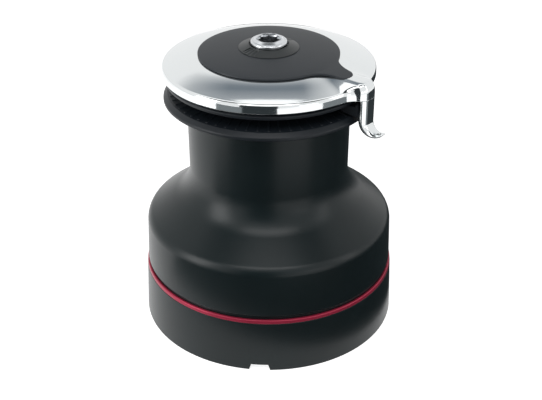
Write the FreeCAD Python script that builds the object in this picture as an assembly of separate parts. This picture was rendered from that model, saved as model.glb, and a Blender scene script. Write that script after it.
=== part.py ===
import FreeCAD, Part
import math
import os

# A large two-speed self-tailing winch. Millimetres, +Z up. The origin is on the
# drum's axis at the deck. The front of the winch looks along -Y.

# Base and gear case
base_r = 140.0
base_top_r = 137.6
skirt_wall = 5.2
plate_h = 10.0
washer_t = 1.8
gear_lift = 2.0
gear_face = 16.0
level_gap = 6.0
deck_gap = 2.0
deck_t = 8.0
case_wall = 8.2
skirt_fit = 0.3
trim_seat_drop = 2.0
trim_h = 4.2
trim_depth = 3.2
rim_h = 5.3
rim_wall = 5.2
housing_screw_inset = 4.7
housing_screw_count = 8
housing_screw_sink = 1.0
housing_screw_l = 15.0
housing_tap_depth = 14.0
deck_hole_room = 0.8
gear_room = 0.9
notch_width = 18.0
notch_h = 6.5
notch_slope = 2.2
notch_depth = 18.0
notch_count = 4
notch_azimuth = -94.0
deck_bolt_count = 8
deck_bolt_circle_r = 118.0
deck_bolt_hole_r = 4.25
deck_bolt_head_r = 8.2
deck_bolt_first = 22.5

# Gears: teeth are cut at one pressure angle, and every tooth is thinned a little
pressure_angle = math.radians(25.0)
addendum = 0.95
dedendum = 1.2
tooth_thinning = 0.2
ring_module = 2.75
ring_teeth = 60
pinion_teeth = 12
pinion_face = 28.0
pinion_room = 1.8
first_module = 2.5
first_drive_teeth = 18
idler_teeth = 12
first_driven_teeth = 27
second_module = 2.0
second_drive_teeth = 11
second_driven_teeth = 55
shaft_azimuth = 90.0
ring_wall = 7.0
ring_flange_w = 12.0
ring_screw_out = 6.5
ring_flange_h = 6.0
ring_register_h = 2.0

# Ratchets and pawls
ratchet_teeth = 16
carrier_r = 23.0
ratchet_gap = 0.08
ratchet_depth = 2.6
ratchet_land = 5.0
ratchet_step = 6.0
ratchet_lash = 0.5
gear_boss_w = 7.0
gear_boss_room = 1.0
pawl_pivot_r = 17.5
pawl_heel_r = 3.0
pawl_half_t = 2.0
pawl_length = 12.0
pawl_swing = 14.0
pawl_first = 0.0
pawl_fit = 0.05
pawl_end_play = 0.3
pawl_room = 0.3
pawl_end_room = 1.2
pawl_swing_room = 2.0
pawl_tip_slant = math.radians(40.0)
spring_strip_t = 0.5
spring_strip_h = 6.0
spring_pocket_depth = 2.8
spring_foot_y = 3.6
spring_touch_y = 4.6
spring_heel_y = 9.0
spring_room = 0.2

# Shafts, pins, bushes and bearings
running_fit = 0.05
axial_play = 0.3
final_pin_r = 7.0
idler_pin_r = 6.0
pin_head_r = 9.0
pin_head_h = 2.5
pin_seat_floor = 2.0
bush_wall = 2.0
bush_l = 20.0
washer_w = 6.0
spindle_r = 15.0
spindle_gear_seat_r = 11.5
spindle_foot_r = 10.0
spindle_bush_wall = 3.0
spindle_bush_h = 20.0
key_width = 5.0
key_depth = 2.5
key_azimuth = -90.0
circlip_t = 1.1
circlip_out = 3.0
circlip_groove = 0.9
circlip_gap = 6.0
circlip_azimuth = 30.0
stem_r = 52.0
stem_foot_r = 57.0
stem_flange_r = 76.0
stem_flange_t = 8.0
stem_screw_r = 67.5
stem_screw_count = 6
web_arm_wall = 5.0
web_arm_root = 4.0
stem_core_r = 40.0
stem_core_taper = 12.0
spigot_r = 30.0
web_gap = 2.0
web_t = 8.0
bearing_gap = 4.0
roller_r = 4.0
roller_l = 19.0
roller_count = 12
roller_fit = 0.03
cage_h = 25.0
cage_side = 1.2
cage_window_fit = 0.15

# Drum, from its lower edge to its top face
drum_gap = 1.4
drum_h = 180.3
drum_foot_r = 135.9
drum_shoulder_r = 134.0
drum_shoulder_h = 52.4
drum_shoulder_round = 14.0
waist_r = 85.7
waist_top_r = 86.2
cone_angle = math.radians(36.0)
waist_round = 42.8
drum_wall = 6.2
seat_wall = 14.0
seat_taper = 8.0
upper_seat_h = 28.0
web_step = 0.7

# Line jaws
jaw_hub_r = 74.0
jaw_hub_bore_r = 54.0
jaw_screw_r = 66.0
jaw_screw_count = 6
jaw_screw_grip = 13.0
jaw_tap_depth = 14.0
jaw_recess = 7.0
jaw_fit = 0.3
jaw_spline_count = 6
jaw_spline_first = 30.0
jaw_spline_h = 2.5
jaw_spline_w = 8.0
spring_h = 4.5
spring_waves = 6
spring_in_r = 77.5
spring_out_r = 84.0
spring_t = 1.0
groove_root_r = 80.0
lower_rim_r = 110.4
lower_rim_up = 7.4
lower_rim_h = 3.6
lower_lip_r = 105.8
lower_lip_up = 15.4
lower_root_up = 18.6
upper_rim_r = 108.0
upper_root_up = 23.0
upper_lip_up = 29.2
upper_top_up = 33.5
jaw_rib_count = 60
jaw_rib_h = 0.9
jaw_rib_w = 1.8
jaw_rib_bed = 0.3
jaw_rib_slope = 1.5
rib_from_root = 5.0
rib_from_lip = 1.2
rib_from_rim = 3.0

# Stripper arm: a shallow polished dish with one finger hanging from it
arm_gap = 3.1
arm_rim_r = 111.9
arm_rim_wall = 4.0
arm_h = 18.8
arm_round = 10.5
arm_slope_drop = 2.6
arm_hub_r = 48.0
arm_hub_drop = 2.4
arm_web_t = 5.0
arm_screw_r = 31.5
arm_screw_sink = 6.6
arm_screw_l = 16.0
arm_tap_depth = 11.0
finger_azimuth = -36.5
finger_w = 21.0
finger_in_r = 115.0
finger_t = 9.6
finger_root_round = 14.0
finger_edge_round = 2.2
toe_r = 141.2
toe_turn = 130.0
toe_bend_drop = 24.2
toe_tip_t = 2.6
toe_steps = 6
peeler_w = 16.0
peeler_reach_r = 84.0
peeler_tip_w = 7.0
peeler_taper = 12.0
peeler_gap = 0.9
peeler_pad_t = 3.2
peeler_pad_down = 1.0
peeler_pad_up = 3.0

# Centre: arm support, cover, cover nut and handle socket
support_flange_r = 51.0
support_flange_t = 7.0
support_screw_r = 44.5
support_screw_grip = 14.0
support_tap_depth = 16.0
centre_screw_count = 4
centre_screw_first = 45.0
support_boss_r = 38.0
support_tube_r = 25.0
support_bore_r = 20.0
support_over_arm = 7.1
cover_r = 73.4
cover_t = 2.0
cover_crown = 5.6
cover_flat_r = 31.6
cover_fall_round = 40.0
cover_bore_fit = 0.4
pointer_azimuth = -36.8
pointer_r = 101.0
pointer_half_w = 9.6
pointer_flank_round = 32.0
pointer_nose_round = 6.0
nut_out_r = 31.4
nut_top_r = 20.6
nut_skirt_r = 28.6
nut_skirt_h = 5.0
nut_h = 4.4
nut_slot_w = 13.0
nut_slot_azimuth = 48.0
nut_slot_depth = 1.5
nut_slot_end = 0.6
nut_lead = 0.7
nut_fit = 0.5
socket_r = 19.0
socket_up = 6.0
socket_l = 56.0
star_square = 17.5
star_depth = 38.0
mouth_r = 12.3
mouth_lip = 1.2
mouth_step = 2.4
socket_shoulder = 2.6
socket_groove = 0.4

# Screws: shank radius, head radius, head height
small_screw = (2.5, 4.25, 5.0)
medium_screw = (3.0, 5.0, 6.0)
large_screw = (4.0, 6.5, 8.0)
screw_gap = 0.15

# Levels worked out upwards from the deck
first_z = plate_h + gear_lift
second_z = first_z + gear_face + level_gap
deck_under = second_z + gear_face + deck_gap
deck_top = deck_under + deck_t
skirt_top = deck_top - trim_seat_drop
rim_top = deck_top + rim_h
drum_bottom = rim_top + drum_gap
drum_top = drum_bottom + drum_h
pinion_z = deck_top + stem_flange_t + gear_lift
pinion_top = pinion_z + pinion_face
web_z = pinion_top + web_gap
web_top = web_z + web_t
lower_cage_z = web_top + bearing_gap
upper_cage_z = drum_top - cage_h - axial_play
jaw_under = drum_top + spring_h
jaw_top = drum_top + upper_top_up
arm_z = jaw_top + arm_gap
arm_top = arm_z + arm_h
arm_hub_z = arm_z + arm_hub_drop
cover_top = arm_top + cover_crown
nut_top = cover_top + nut_h
socket_top = nut_top + socket_up
support_top = arm_top + support_over_arm

# Gear sizes
centre_distance = ring_module * (ring_teeth - pinion_teeth) / 2
case_r = min(base_r, base_top_r) - skirt_wall - skirt_fit
housing_screw_r = case_r - housing_screw_inset
web_arm_r = final_pin_r + web_arm_wall
race_r = stem_r + 2 * roller_r + 2 * roller_fit
roller_circle_r = stem_r + roller_r + roller_fit


def vector(x, y, z=0.0):
    return FreeCAD.Vector(x, y, z)


def polar(radius, azimuth):
    angle = math.radians(azimuth)
    return radius * math.cos(angle), radius * math.sin(angle)


def rounded_wire(corners, place):
    """A closed wire through corners (a, b) or (a, b, round); place sets (a, b) in space."""
    entries = []
    middles = []
    leaves = []
    for index, corner in enumerate(corners):
        here = vector(corner[0], corner[1])
        if len(corner) == 2:
            entries.append(here)
            middles.append(None)
            leaves.append(here)
            continue
        before = corners[index - 1]
        after = corners[(index + 1) % len(corners)]
        back = (vector(before[0], before[1]) - here).normalize()
        ahead = (vector(after[0], after[1]) - here).normalize()
        half = back.getAngle(ahead) / 2
        run = corner[2] / math.tan(half)
        inward = (back + ahead).normalize()
        entries.append(here + back * run)
        middles.append(here + inward * (corner[2] / math.sin(half) - corner[2]))
        leaves.append(here + ahead * run)
    edges = []
    for index, middle in enumerate(middles):
        if middle is not None:
            arc = [place(p.x, p.y) for p in (entries[index], middle, leaves[index])]
            edges.append(Part.Arc(*arc).toShape())
        start = place(leaves[index].x, leaves[index].y)
        following = entries[(index + 1) % len(corners)]
        end = place(following.x, following.y)
        if start.distanceToPoint(end) > 1e-6:
            edges.append(Part.LineSegment(start, end).toShape())
    return Part.Wire(edges)


def turned(corners):
    """A solid of revolution about Z from corners (radius, height) or (radius, height, round)."""
    face = Part.Face(rounded_wire(corners, lambda a, b: vector(a, 0, b)))
    return face.revolve(vector(0, 0), vector(0, 0, 1), 360)


def slab(corners, z0, z1):
    """A plate between two heights from corners (x, y) or (x, y, round)."""
    face = Part.Face(rounded_wire(corners, lambda a, b: vector(a, b, z0)))
    return face.extrude(vector(0, 0, z1 - z0))


def post(radius, z0, z1, at=(0.0, 0.0)):
    return Part.makeCylinder(radius, z1 - z0, vector(at[0], at[1], z0))


def tube(inner, outer, z0, z1, at=(0.0, 0.0)):
    return post(outer, z0, z1, at).cut(post(inner, z0, z1, at))


def spun(shape, azimuth, at=(0.0, 0.0)):
    copy = shape.copy()
    copy.rotate(vector(at[0], at[1]), vector(0, 0, 1), azimuth)
    return copy


def moved(shape, x, y, z=0.0):
    copy = shape.copy()
    copy.translate(vector(x, y, z))
    return copy


def mirrored(point):
    return vector(point.x, -point.y)


def around(shape, count, first=0.0):
    """Copies of a shape spaced evenly about Z, the first turned by an azimuth."""
    return [spun(shape, first + 360.0 * i / count) for i in range(count)]


def box(x0, x1, y0, y1, z0, z1):
    return Part.makeBox(x1 - x0, y1 - y0, z1 - z0, vector(x0, y0, z0))


def screw_down(size, length, seat_z, radius):
    """A socket cap screw that points down, its head seated at seat_z, on the +X side."""
    shank_r, head_r, head_h = size
    body = post(shank_r, seat_z - length, seat_z, (radius, 0))
    head = post(head_r, seat_z, seat_z + head_h, (radius, 0))
    hexagon = [polar(shank_r, 60 * i) for i in range(6)]
    key_hole = slab(hexagon, seat_z + head_h / 2, seat_z + head_h)
    return body.fuse(head).cut(moved(key_hole, radius, 0))


def screw_up(size, length, seat_z, radius):
    """The same screw pointing up, its head below seat_z."""
    screw = screw_down(size, length, 0.0, radius)
    screw.rotate(vector(radius, 0), vector(1, 0, 0), 180)
    return moved(screw, 0, 0, seat_z)


def screw_hole(size, length, seat_z, radius, head_room=0.0):
    """Room for a screw that points down, with a counterbore of head_room above its seat."""
    hole = post(size[0] + screw_gap, seat_z - length, seat_z, (radius, 0))
    if head_room > 0:
        hole = hole.fuse(post(size[1] + screw_gap, seat_z, seat_z + head_room, (radius, 0)))
    return hole


# Gear teeth


def involute(radius, base):
    angle = math.acos(min(1.0, base / radius))
    return math.tan(angle) - angle


def tooth_points(teeth, module, low_r, high_r, half_width, phase, steps):
    """Points round a toothed outline; half_width is half a tooth at the pitch circle, in mm."""
    pitch_r = teeth * module / 2
    base = pitch_r * math.cos(pressure_angle)
    start = max(low_r, base)
    radii = [start + (high_r - start) * i / steps for i in range(steps + 1)]
    if low_r < base:
        radii.insert(0, low_r)
    at_pitch = half_width / pitch_r + involute(pitch_r, base)
    halves = [at_pitch - involute(max(r, base), base) for r in radii]
    points = []
    for tooth in range(teeth):
        middle = math.radians(phase) + 2 * math.pi * tooth / teeth
        rising = [(r, middle - h) for r, h in zip(radii, halves)]
        falling = [(r, middle + h) for r, h in reversed(list(zip(radii, halves)))]
        points += [(r * math.cos(a), r * math.sin(a)) for r, a in rising + falling]
    return points


def outside_gear(teeth, module, phase, z0, z1, steps):
    pitch_r = teeth * module / 2
    low = pitch_r - dedendum * module
    high = pitch_r + addendum * module
    half = math.pi * module / 4 - tooth_thinning / 2
    return slab(tooth_points(teeth, module, low, high, half, phase, steps), z0, z1)


def ring_spaces(teeth, module, phase, z0, z1, steps):
    """The toothed opening of a ring gear; phase is the azimuth of one tooth space."""
    pitch_r = teeth * module / 2
    low = pitch_r - addendum * module
    high = pitch_r + dedendum * module
    half = math.pi * module / 4 + tooth_thinning / 2
    return slab(tooth_points(teeth, module, low, high, half, phase, steps), z0, z1)


def mesh_phase(first_teeth, first_phase, second_teeth, direction):
    """Tooth phase of a second outside gear that meshes with a first, seen from it in a direction."""
    offset = (first_phase - direction) % (360.0 / first_teeth)
    return direction + 180.0 - offset * first_teeth / second_teeth + 180.0 / second_teeth


# Places of the gear train
final_at = polar(centre_distance, shaft_azimuth)
first_drive_r = first_drive_teeth * first_module / 2
idler_r = idler_teeth * first_module / 2
first_driven_r = first_driven_teeth * first_module / 2
drive_to_idler = first_drive_r + idler_r
idler_to_driven = idler_r + first_driven_r
idler_turn = math.degrees(math.acos(
    (drive_to_idler ** 2 + centre_distance ** 2 - idler_to_driven ** 2)
    / (2 * drive_to_idler * centre_distance)))
idler_azimuth = shaft_azimuth - idler_turn
idler_at = polar(drive_to_idler, idler_azimuth)
idler_to_final = math.degrees(math.atan2(final_at[1] - idler_at[1], final_at[0] - idler_at[0]))
first_drive_phase = idler_azimuth
idler_phase = mesh_phase(first_drive_teeth, first_drive_phase, idler_teeth, idler_azimuth)
first_driven_phase = mesh_phase(idler_teeth, idler_phase, first_driven_teeth, idler_to_final)
second_drive_phase = shaft_azimuth
second_tip_r = second_module * (second_driven_teeth / 2 + addendum)
second_driven_phase = mesh_phase(second_drive_teeth, second_drive_phase, second_driven_teeth, shaft_azimuth)
ring_pitch_r = ring_module * ring_teeth / 2
ring_tip_r = ring_pitch_r - addendum * ring_module
ring_root_r = ring_pitch_r + dedendum * ring_module
ring_out_r = ring_root_r + ring_wall
ring_flange_r = ring_out_r + ring_flange_w
ring_screw_r = ring_out_r + ring_screw_out
pinion_root_r = ring_module * (pinion_teeth / 2 - dedendum)
pinion_tip_r = ring_module * (pinion_teeth / 2 + addendum)
pinion_bore_r = final_pin_r + running_fit + bush_wall
spindle_bush_r = spindle_r + running_fit + spindle_bush_wall


# Base


def drain_cut(in_r, out_r):
    """One drain notch on the +X side, its sides sloped a little, open at the deck."""
    half = notch_width / 2
    corners = [(-half - notch_slope, 0), (half + notch_slope, 0), (half, notch_h, 1.0), (-half, notch_h, 1.0)]
    face = Part.Face(rounded_wire(corners, lambda a, b: vector(in_r, a, b)))
    return face.extrude(vector(out_r - in_r, 0, 0))


def second_gear_room():
    """The room that the largest gear turns in, cut from whatever stands too near it."""
    return post(second_tip_r + gear_room, second_z - gear_room, second_z + gear_face + gear_room, final_at)


def base_skirt():
    shell = turned([
        (base_r, 0.0, 0.6), (base_top_r, skirt_top, 0.5),
        (case_r + skirt_fit, skirt_top), (case_r + skirt_fit, 0.0)])
    notches = around(drain_cut(case_r - 1, base_r + 1), notch_count, notch_azimuth)
    return shell.cut(Part.makeCompound(notches)).cut(second_gear_room())


def trim_ring():
    return turned([
        (base_top_r - 0.1, skirt_top, 0.5), (base_top_r - 0.5, skirt_top + trim_h, 1.2),
        (base_top_r - trim_depth, skirt_top + trim_h), (base_top_r - trim_depth, skirt_top)])


def gear_housing():
    rim_out = base_top_r - trim_depth - skirt_fit
    case = turned([
        (case_r, plate_h), (case_r, skirt_top), (rim_out, skirt_top), (rim_out, rim_top, 0.8),
        (rim_out - rim_wall, rim_top, 0.8), (rim_out - rim_wall, deck_top), (spigot_r + running_fit, deck_top),
        (spigot_r + running_fit, deck_under), (case_r - case_wall, deck_under, 3.0), (case_r - case_wall, plate_h)])
    case = case.cut(post(pinion_tip_r + deck_hole_room, deck_under, deck_top, final_at)).cut(second_gear_room())
    hole = screw_hole(small_screw, housing_tap_depth, plate_h + housing_tap_depth, housing_screw_r)
    stem_hole = screw_hole(large_screw, deck_t, deck_top, stem_screw_r)
    holes = around(hole, housing_screw_count) + around(stem_hole, stem_screw_count)
    return case.cut(Part.makeCompound(holes))


def base_plate():
    plate = turned([(0, 0), (case_r, 0), (case_r, plate_h), (0, plate_h)])
    cuts = around(drain_cut(case_r - notch_depth, case_r + 1), notch_count, notch_azimuth)
    sink = Part.makeCone(deck_bolt_hole_r, deck_bolt_head_r, deck_bolt_head_r - deck_bolt_hole_r,
                         vector(deck_bolt_circle_r, 0, plate_h - deck_bolt_head_r + deck_bolt_hole_r))
    bolt_hole = post(deck_bolt_hole_r, 0, plate_h, (deck_bolt_circle_r, 0)).fuse(sink)
    cuts += around(bolt_hole, deck_bolt_count, deck_bolt_first)
    seat_z = housing_screw_sink + small_screw[2]
    screw_room = post(small_screw[0] + screw_gap, 0, plate_h, (housing_screw_r, 0))
    screw_room = screw_room.fuse(post(small_screw[1] + screw_gap, 0, seat_z, (housing_screw_r, 0)))
    cuts += around(screw_room, housing_screw_count)
    cuts.append(post(final_pin_r + running_fit, pin_seat_floor, plate_h, final_at))
    cuts.append(post(idler_pin_r + running_fit, pin_seat_floor, plate_h, idler_at))
    cuts.append(post(spindle_foot_r + running_fit + spindle_bush_wall, pin_seat_floor, plate_h))
    return plate.cut(Part.makeCompound(cuts))


def housing_screws():
    seat_z = housing_screw_sink + small_screw[2]
    screw = screw_up(small_screw, housing_screw_l, seat_z, housing_screw_r)
    return Part.makeCompound(around(screw, housing_screw_count))


# Centre stem and the fixed pins


def center_stem():
    bush_seat = spindle_bush_r
    core_foot = deck_top + spindle_bush_h + stem_core_taper
    core_top = drum_top - spindle_bush_h - stem_core_taper
    body = turned([
        (bush_seat, deck_under), (spigot_r, deck_under), (spigot_r, deck_top), (stem_flange_r, deck_top),
        (stem_flange_r, deck_top + stem_flange_t, 1.0), (stem_foot_r, deck_top + stem_flange_t, 2.0),
        (stem_foot_r, lower_cage_z - axial_play), (stem_r, lower_cage_z - axial_play), (stem_r, drum_top),
        (bush_seat, drum_top), (bush_seat, core_top + stem_core_taper), (stem_core_r, core_top),
        (stem_core_r, core_foot), (bush_seat, core_foot - stem_core_taper)])
    web = post(web_arm_r, web_z, web_top, final_at)
    arm = spun(box(stem_foot_r - web_arm_root, centre_distance, -web_arm_r, web_arm_r, web_z, web_top), shaft_azimuth)
    pocket_r = pinion_tip_r + pinion_room
    pocket = post(pocket_r, deck_top, web_z, final_at)
    mouth = box(centre_distance, stem_flange_r + 1, -pocket_r, pocket_r, deck_top, web_z)
    body = body.cut(pocket.fuse(spun(mouth, shaft_azimuth))).fuse([web, arm])
    cuts = [post(final_pin_r + running_fit, web_z, web_top, final_at)]
    cuts += around(screw_hole(large_screw, stem_flange_t, deck_top + stem_flange_t, stem_screw_r), stem_screw_count)
    support_hole = screw_hole(medium_screw, support_tap_depth, drum_top, support_screw_r)
    cuts += around(support_hole, centre_screw_count, centre_screw_first)
    return body.cut(Part.makeCompound(cuts)).removeSplitter()


def stem_screws():
    screw = screw_down(large_screw, deck_t + stem_flange_t, deck_top + stem_flange_t, stem_screw_r)
    return Part.makeCompound(around(screw, stem_screw_count))


def final_shaft_pin():
    return post(final_pin_r, pin_seat_floor, web_top, final_at)


def idler_pin():
    head_z = first_z + gear_face + axial_play
    shank = post(idler_pin_r, pin_seat_floor, head_z, idler_at)
    return shank.fuse(post(pin_head_r, head_z, head_z + pin_head_h, idler_at))


def thrust_washers():
    under_pinion = tube(final_pin_r + axial_play, carrier_r + washer_w, plate_h, plate_h + washer_t, final_at)
    under_idler = tube(idler_pin_r + axial_play, idler_pin_r + washer_w, plate_h, plate_h + washer_t, idler_at)
    return Part.makeCompound([under_pinion, under_idler])


def spindle_foot_bush():
    inner = spindle_foot_r + running_fit
    return tube(inner, inner + spindle_bush_wall, pin_seat_floor, plate_h)


def spindle_bushes():
    inner = spindle_r + running_fit
    low = tube(inner, spindle_bush_r, deck_under, deck_under + spindle_bush_h)
    high = tube(inner, spindle_bush_r, drum_top - spindle_bush_h, drum_top)
    return Part.makeCompound([low, high])


def bearing_spacer():
    z0 = lower_cage_z + cage_h + axial_play
    z1 = upper_cage_z - axial_play
    return tube(stem_r + axial_play, race_r - cage_side, z0, z1)


# Drum bearings


def bearing_cage(z0):
    cage = tube(stem_r + cage_side, race_r - cage_side, z0, z0 + cage_h)
    rim = (cage_h - roller_l) / 2 - cage_window_fit
    window = post(roller_r + cage_window_fit, z0 + rim, z0 + cage_h - rim, (roller_circle_r, 0))
    return cage.cut(Part.makeCompound(around(window, roller_count)))


def bearing_rollers(z0):
    rim = (cage_h - roller_l) / 2
    roller = post(roller_r, z0 + rim, z0 + rim + roller_l, (roller_circle_r, 0))
    return Part.makeCompound(around(roller, roller_count))


# Drum


def cone_height(radius, drop):
    """Height of the cone's surface at a radius, drop below the outside measured square to it."""
    waist_z = drum_bottom + drum_shoulder_h + math.tan(cone_angle) * (drum_shoulder_r - waist_r)
    return waist_z - math.tan(cone_angle) * (radius - waist_r) - drop / math.cos(cone_angle)


def drum():
    seat_out_r = ring_out_r + seat_wall
    lower_web_z = lower_cage_z - axial_play - web_step
    lower_web_top = lower_cage_z + cage_h
    shoulder_in = drum_shoulder_r - drum_wall
    waist_in = waist_r - drum_wall
    shell = turned([
        (drum_foot_r, drum_bottom, 0.8),
        (drum_shoulder_r, drum_bottom + drum_shoulder_h, drum_shoulder_round),
        (waist_r, cone_height(waist_r, 0), waist_round),
        (waist_top_r, drum_top, 1.0),
        (race_r, drum_top),
        (race_r, drum_top - upper_seat_h),
        (waist_in, drum_top - upper_seat_h - seat_taper, 4.0),
        (waist_in, lower_web_top + seat_taper, 4.0),
        (race_r, lower_web_top),
        (race_r, lower_web_z),
        (ring_out_r + running_fit, lower_web_z, 3.0),
        (ring_out_r + running_fit, pinion_top),
        (seat_out_r, pinion_top, 1.5),
        (seat_out_r, cone_height(seat_out_r, drum_wall), 5.0),
        (shoulder_in, cone_height(shoulder_in, drum_wall), drum_shoulder_round - drum_wall),
        (drum_foot_r - drum_wall, drum_bottom, 0.8)])
    gear_holes = around(screw_hole(small_screw, 12, pinion_top + 12, ring_screw_r), 8)
    jaw_holes = around(screw_hole(medium_screw, jaw_tap_depth, drum_top, jaw_screw_r), jaw_screw_count)
    return shell.cut(Part.makeCompound(gear_holes + jaw_holes))


def ring_gear():
    flange_z = pinion_top - ring_flange_h
    blank = turned([
        (ring_tip_r - 4, pinion_z), (ring_out_r, pinion_z, 1.0), (ring_out_r, flange_z),
        (ring_flange_r, flange_z, 0.8), (ring_flange_r, pinion_top), (ring_out_r, pinion_top),
        (ring_out_r, pinion_top + ring_register_h), (ring_tip_r - 4, pinion_top + ring_register_h)])
    opening = ring_spaces(ring_teeth, ring_module, shaft_azimuth, pinion_z, pinion_top + ring_register_h, 2)
    holes = around(screw_hole(small_screw, ring_flange_h, pinion_top, ring_screw_r), 8)
    return blank.cut(opening).cut(Part.makeCompound(holes))


def ring_gear_screws():
    flange_z = pinion_top - ring_flange_h
    screw = screw_up(small_screw, ring_flange_h + 11, flange_z, ring_screw_r)
    return Part.makeCompound(around(screw, 8))


# Line jaws


def jaw_rib(in_r, in_z, out_r, out_z, height):
    """One gripping rib on the +X side, along a cone's face from one radius to another."""
    corners = [(in_r, in_z), (out_r, out_z), (out_r - jaw_rib_slope, out_z + height),
               (in_r + jaw_rib_slope, in_z + height)]
    face = Part.Face(rounded_wire(corners, lambda a, b: vector(a, -jaw_rib_w / 2, b)))
    return face.extrude(vector(0, jaw_rib_w, 0))


def lower_face_z(radius):
    share = (radius - groove_root_r) / (lower_lip_r - groove_root_r)
    return drum_top + lower_root_up + share * (lower_lip_up - lower_root_up)


def upper_face_z(radius):
    share = (radius - groove_root_r) / (upper_rim_r - groove_root_r)
    return drum_top + upper_root_up + share * (upper_lip_up - upper_root_up)


def lower_jaw():
    rim_z = drum_top + lower_rim_up
    bore = jaw_hub_r + jaw_fit
    jaw = turned([
        (bore, jaw_under), (spring_out_r + 8, jaw_under, 3.0), (lower_rim_r - 1, rim_z, 0.8),
        (lower_rim_r, rim_z + 1), (lower_rim_r, rim_z + lower_rim_h, 2.5),
        (lower_lip_r, drum_top + lower_lip_up, 0.8),
        (groove_root_r, drum_top + lower_root_up), (bore, drum_top + lower_root_up)])
    rib_in = groove_root_r + rib_from_root
    rib_out = lower_lip_r - rib_from_lip
    rib = jaw_rib(rib_in, lower_face_z(rib_in) - jaw_rib_bed, rib_out, lower_face_z(rib_out) - jaw_rib_bed,
                  jaw_rib_h + jaw_rib_bed)
    slot = box(0, jaw_hub_r + jaw_spline_h + jaw_fit, -jaw_spline_w / 2 - jaw_fit, jaw_spline_w / 2 + jaw_fit,
               jaw_under, drum_top + lower_root_up)
    jaw = jaw.cut(Part.makeCompound(around(slot, jaw_spline_count, jaw_spline_first)))
    return jaw.fuse(around(rib, jaw_rib_count)).removeSplitter()


def upper_jaw():
    recess_z = jaw_top - jaw_recess
    jaw = turned([
        (jaw_hub_bore_r, drum_top), (jaw_hub_r, drum_top), (jaw_hub_r, drum_top + upper_root_up - 1.5),
        (groove_root_r, drum_top + upper_root_up), (upper_rim_r - 0.5, upper_face_z(upper_rim_r - 0.5), 0.6),
        (upper_rim_r, jaw_top - 1.4, 1.0), (upper_rim_r - 1.6, jaw_top, 0.8), (jaw_hub_r + 6, jaw_top),
        (jaw_hub_r + 3, recess_z, 1.5), (jaw_hub_bore_r, recess_z)])
    rib_in = groove_root_r + rib_from_root
    rib_out = upper_rim_r - rib_from_rim
    rib = jaw_rib(rib_in, upper_face_z(rib_in) + jaw_rib_bed, rib_out, upper_face_z(rib_out) + jaw_rib_bed,
                  -jaw_rib_h - jaw_rib_bed)
    spline = box(jaw_hub_r - 2, jaw_hub_r + jaw_spline_h, -jaw_spline_w / 2, jaw_spline_w / 2,
                 drum_top, drum_top + lower_root_up)
    holes = around(screw_hole(medium_screw, recess_z - drum_top, recess_z, jaw_screw_r), jaw_screw_count)
    jaw = jaw.fuse(around(rib, jaw_rib_count) + around(spline, jaw_spline_count, jaw_spline_first))
    return jaw.cut(Part.makeCompound(holes)).removeSplitter()


def jaw_screws():
    recess_z = jaw_top - jaw_recess
    screw = screw_down(medium_screw, recess_z - drum_top + jaw_screw_grip, recess_z, jaw_screw_r)
    return Part.makeCompound(around(screw, jaw_screw_count))


def wave_curve(radius, base_z, swing):
    steps = spring_waves * 8
    points = []
    for i in range(steps):
        angle = 2 * math.pi * i / steps
        points.append(vector(radius * math.cos(angle), radius * math.sin(angle),
                             base_z + swing * math.sin(spring_waves * angle)))
    curve = Part.BSplineCurve()
    curve.interpolate(points, PeriodicFlag=True)
    return curve.toShape()


def jaw_wave_spring():
    """A flat steel ring bent into even waves, which holds the lower jaw up."""
    swing = (spring_h - spring_t) / 2 - 0.05
    low_z = drum_top + 0.05 + swing
    edges = [wave_curve(r, z, swing) for r, z in (
        (spring_in_r, low_z), (spring_out_r, low_z), (spring_out_r, low_z + spring_t), (spring_in_r, low_z + spring_t))]
    faces = [Part.makeRuledSurface(edges[i], edges[(i + 1) % 4]) for i in range(4)]
    return Part.makeSolid(Part.Shell(faces))


# Stripper arm


def arm_slope_z(radius):
    """Height of the dish's upper face outside the cover's flat."""
    return arm_top - arm_slope_drop * (radius - cover_r) / (arm_rim_r - cover_r)


def arm_blank(rim_r):
    """The dish as a solid of revolution, with its rim at a radius."""
    under = arm_top - arm_web_t
    return turned([
        (support_tube_r + running_fit, arm_hub_z), (arm_hub_r, arm_hub_z, 1.0), (arm_hub_r + 5, under, 3.0),
        (rim_r - arm_rim_wall - 1, under - 3, 6.0), (rim_r - arm_rim_wall, arm_z, 0.5), (rim_r, arm_z, 0.8),
        (rim_r, arm_slope_z(arm_rim_r), arm_round), (cover_r, arm_top), (support_tube_r + running_fit, arm_top)])


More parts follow.
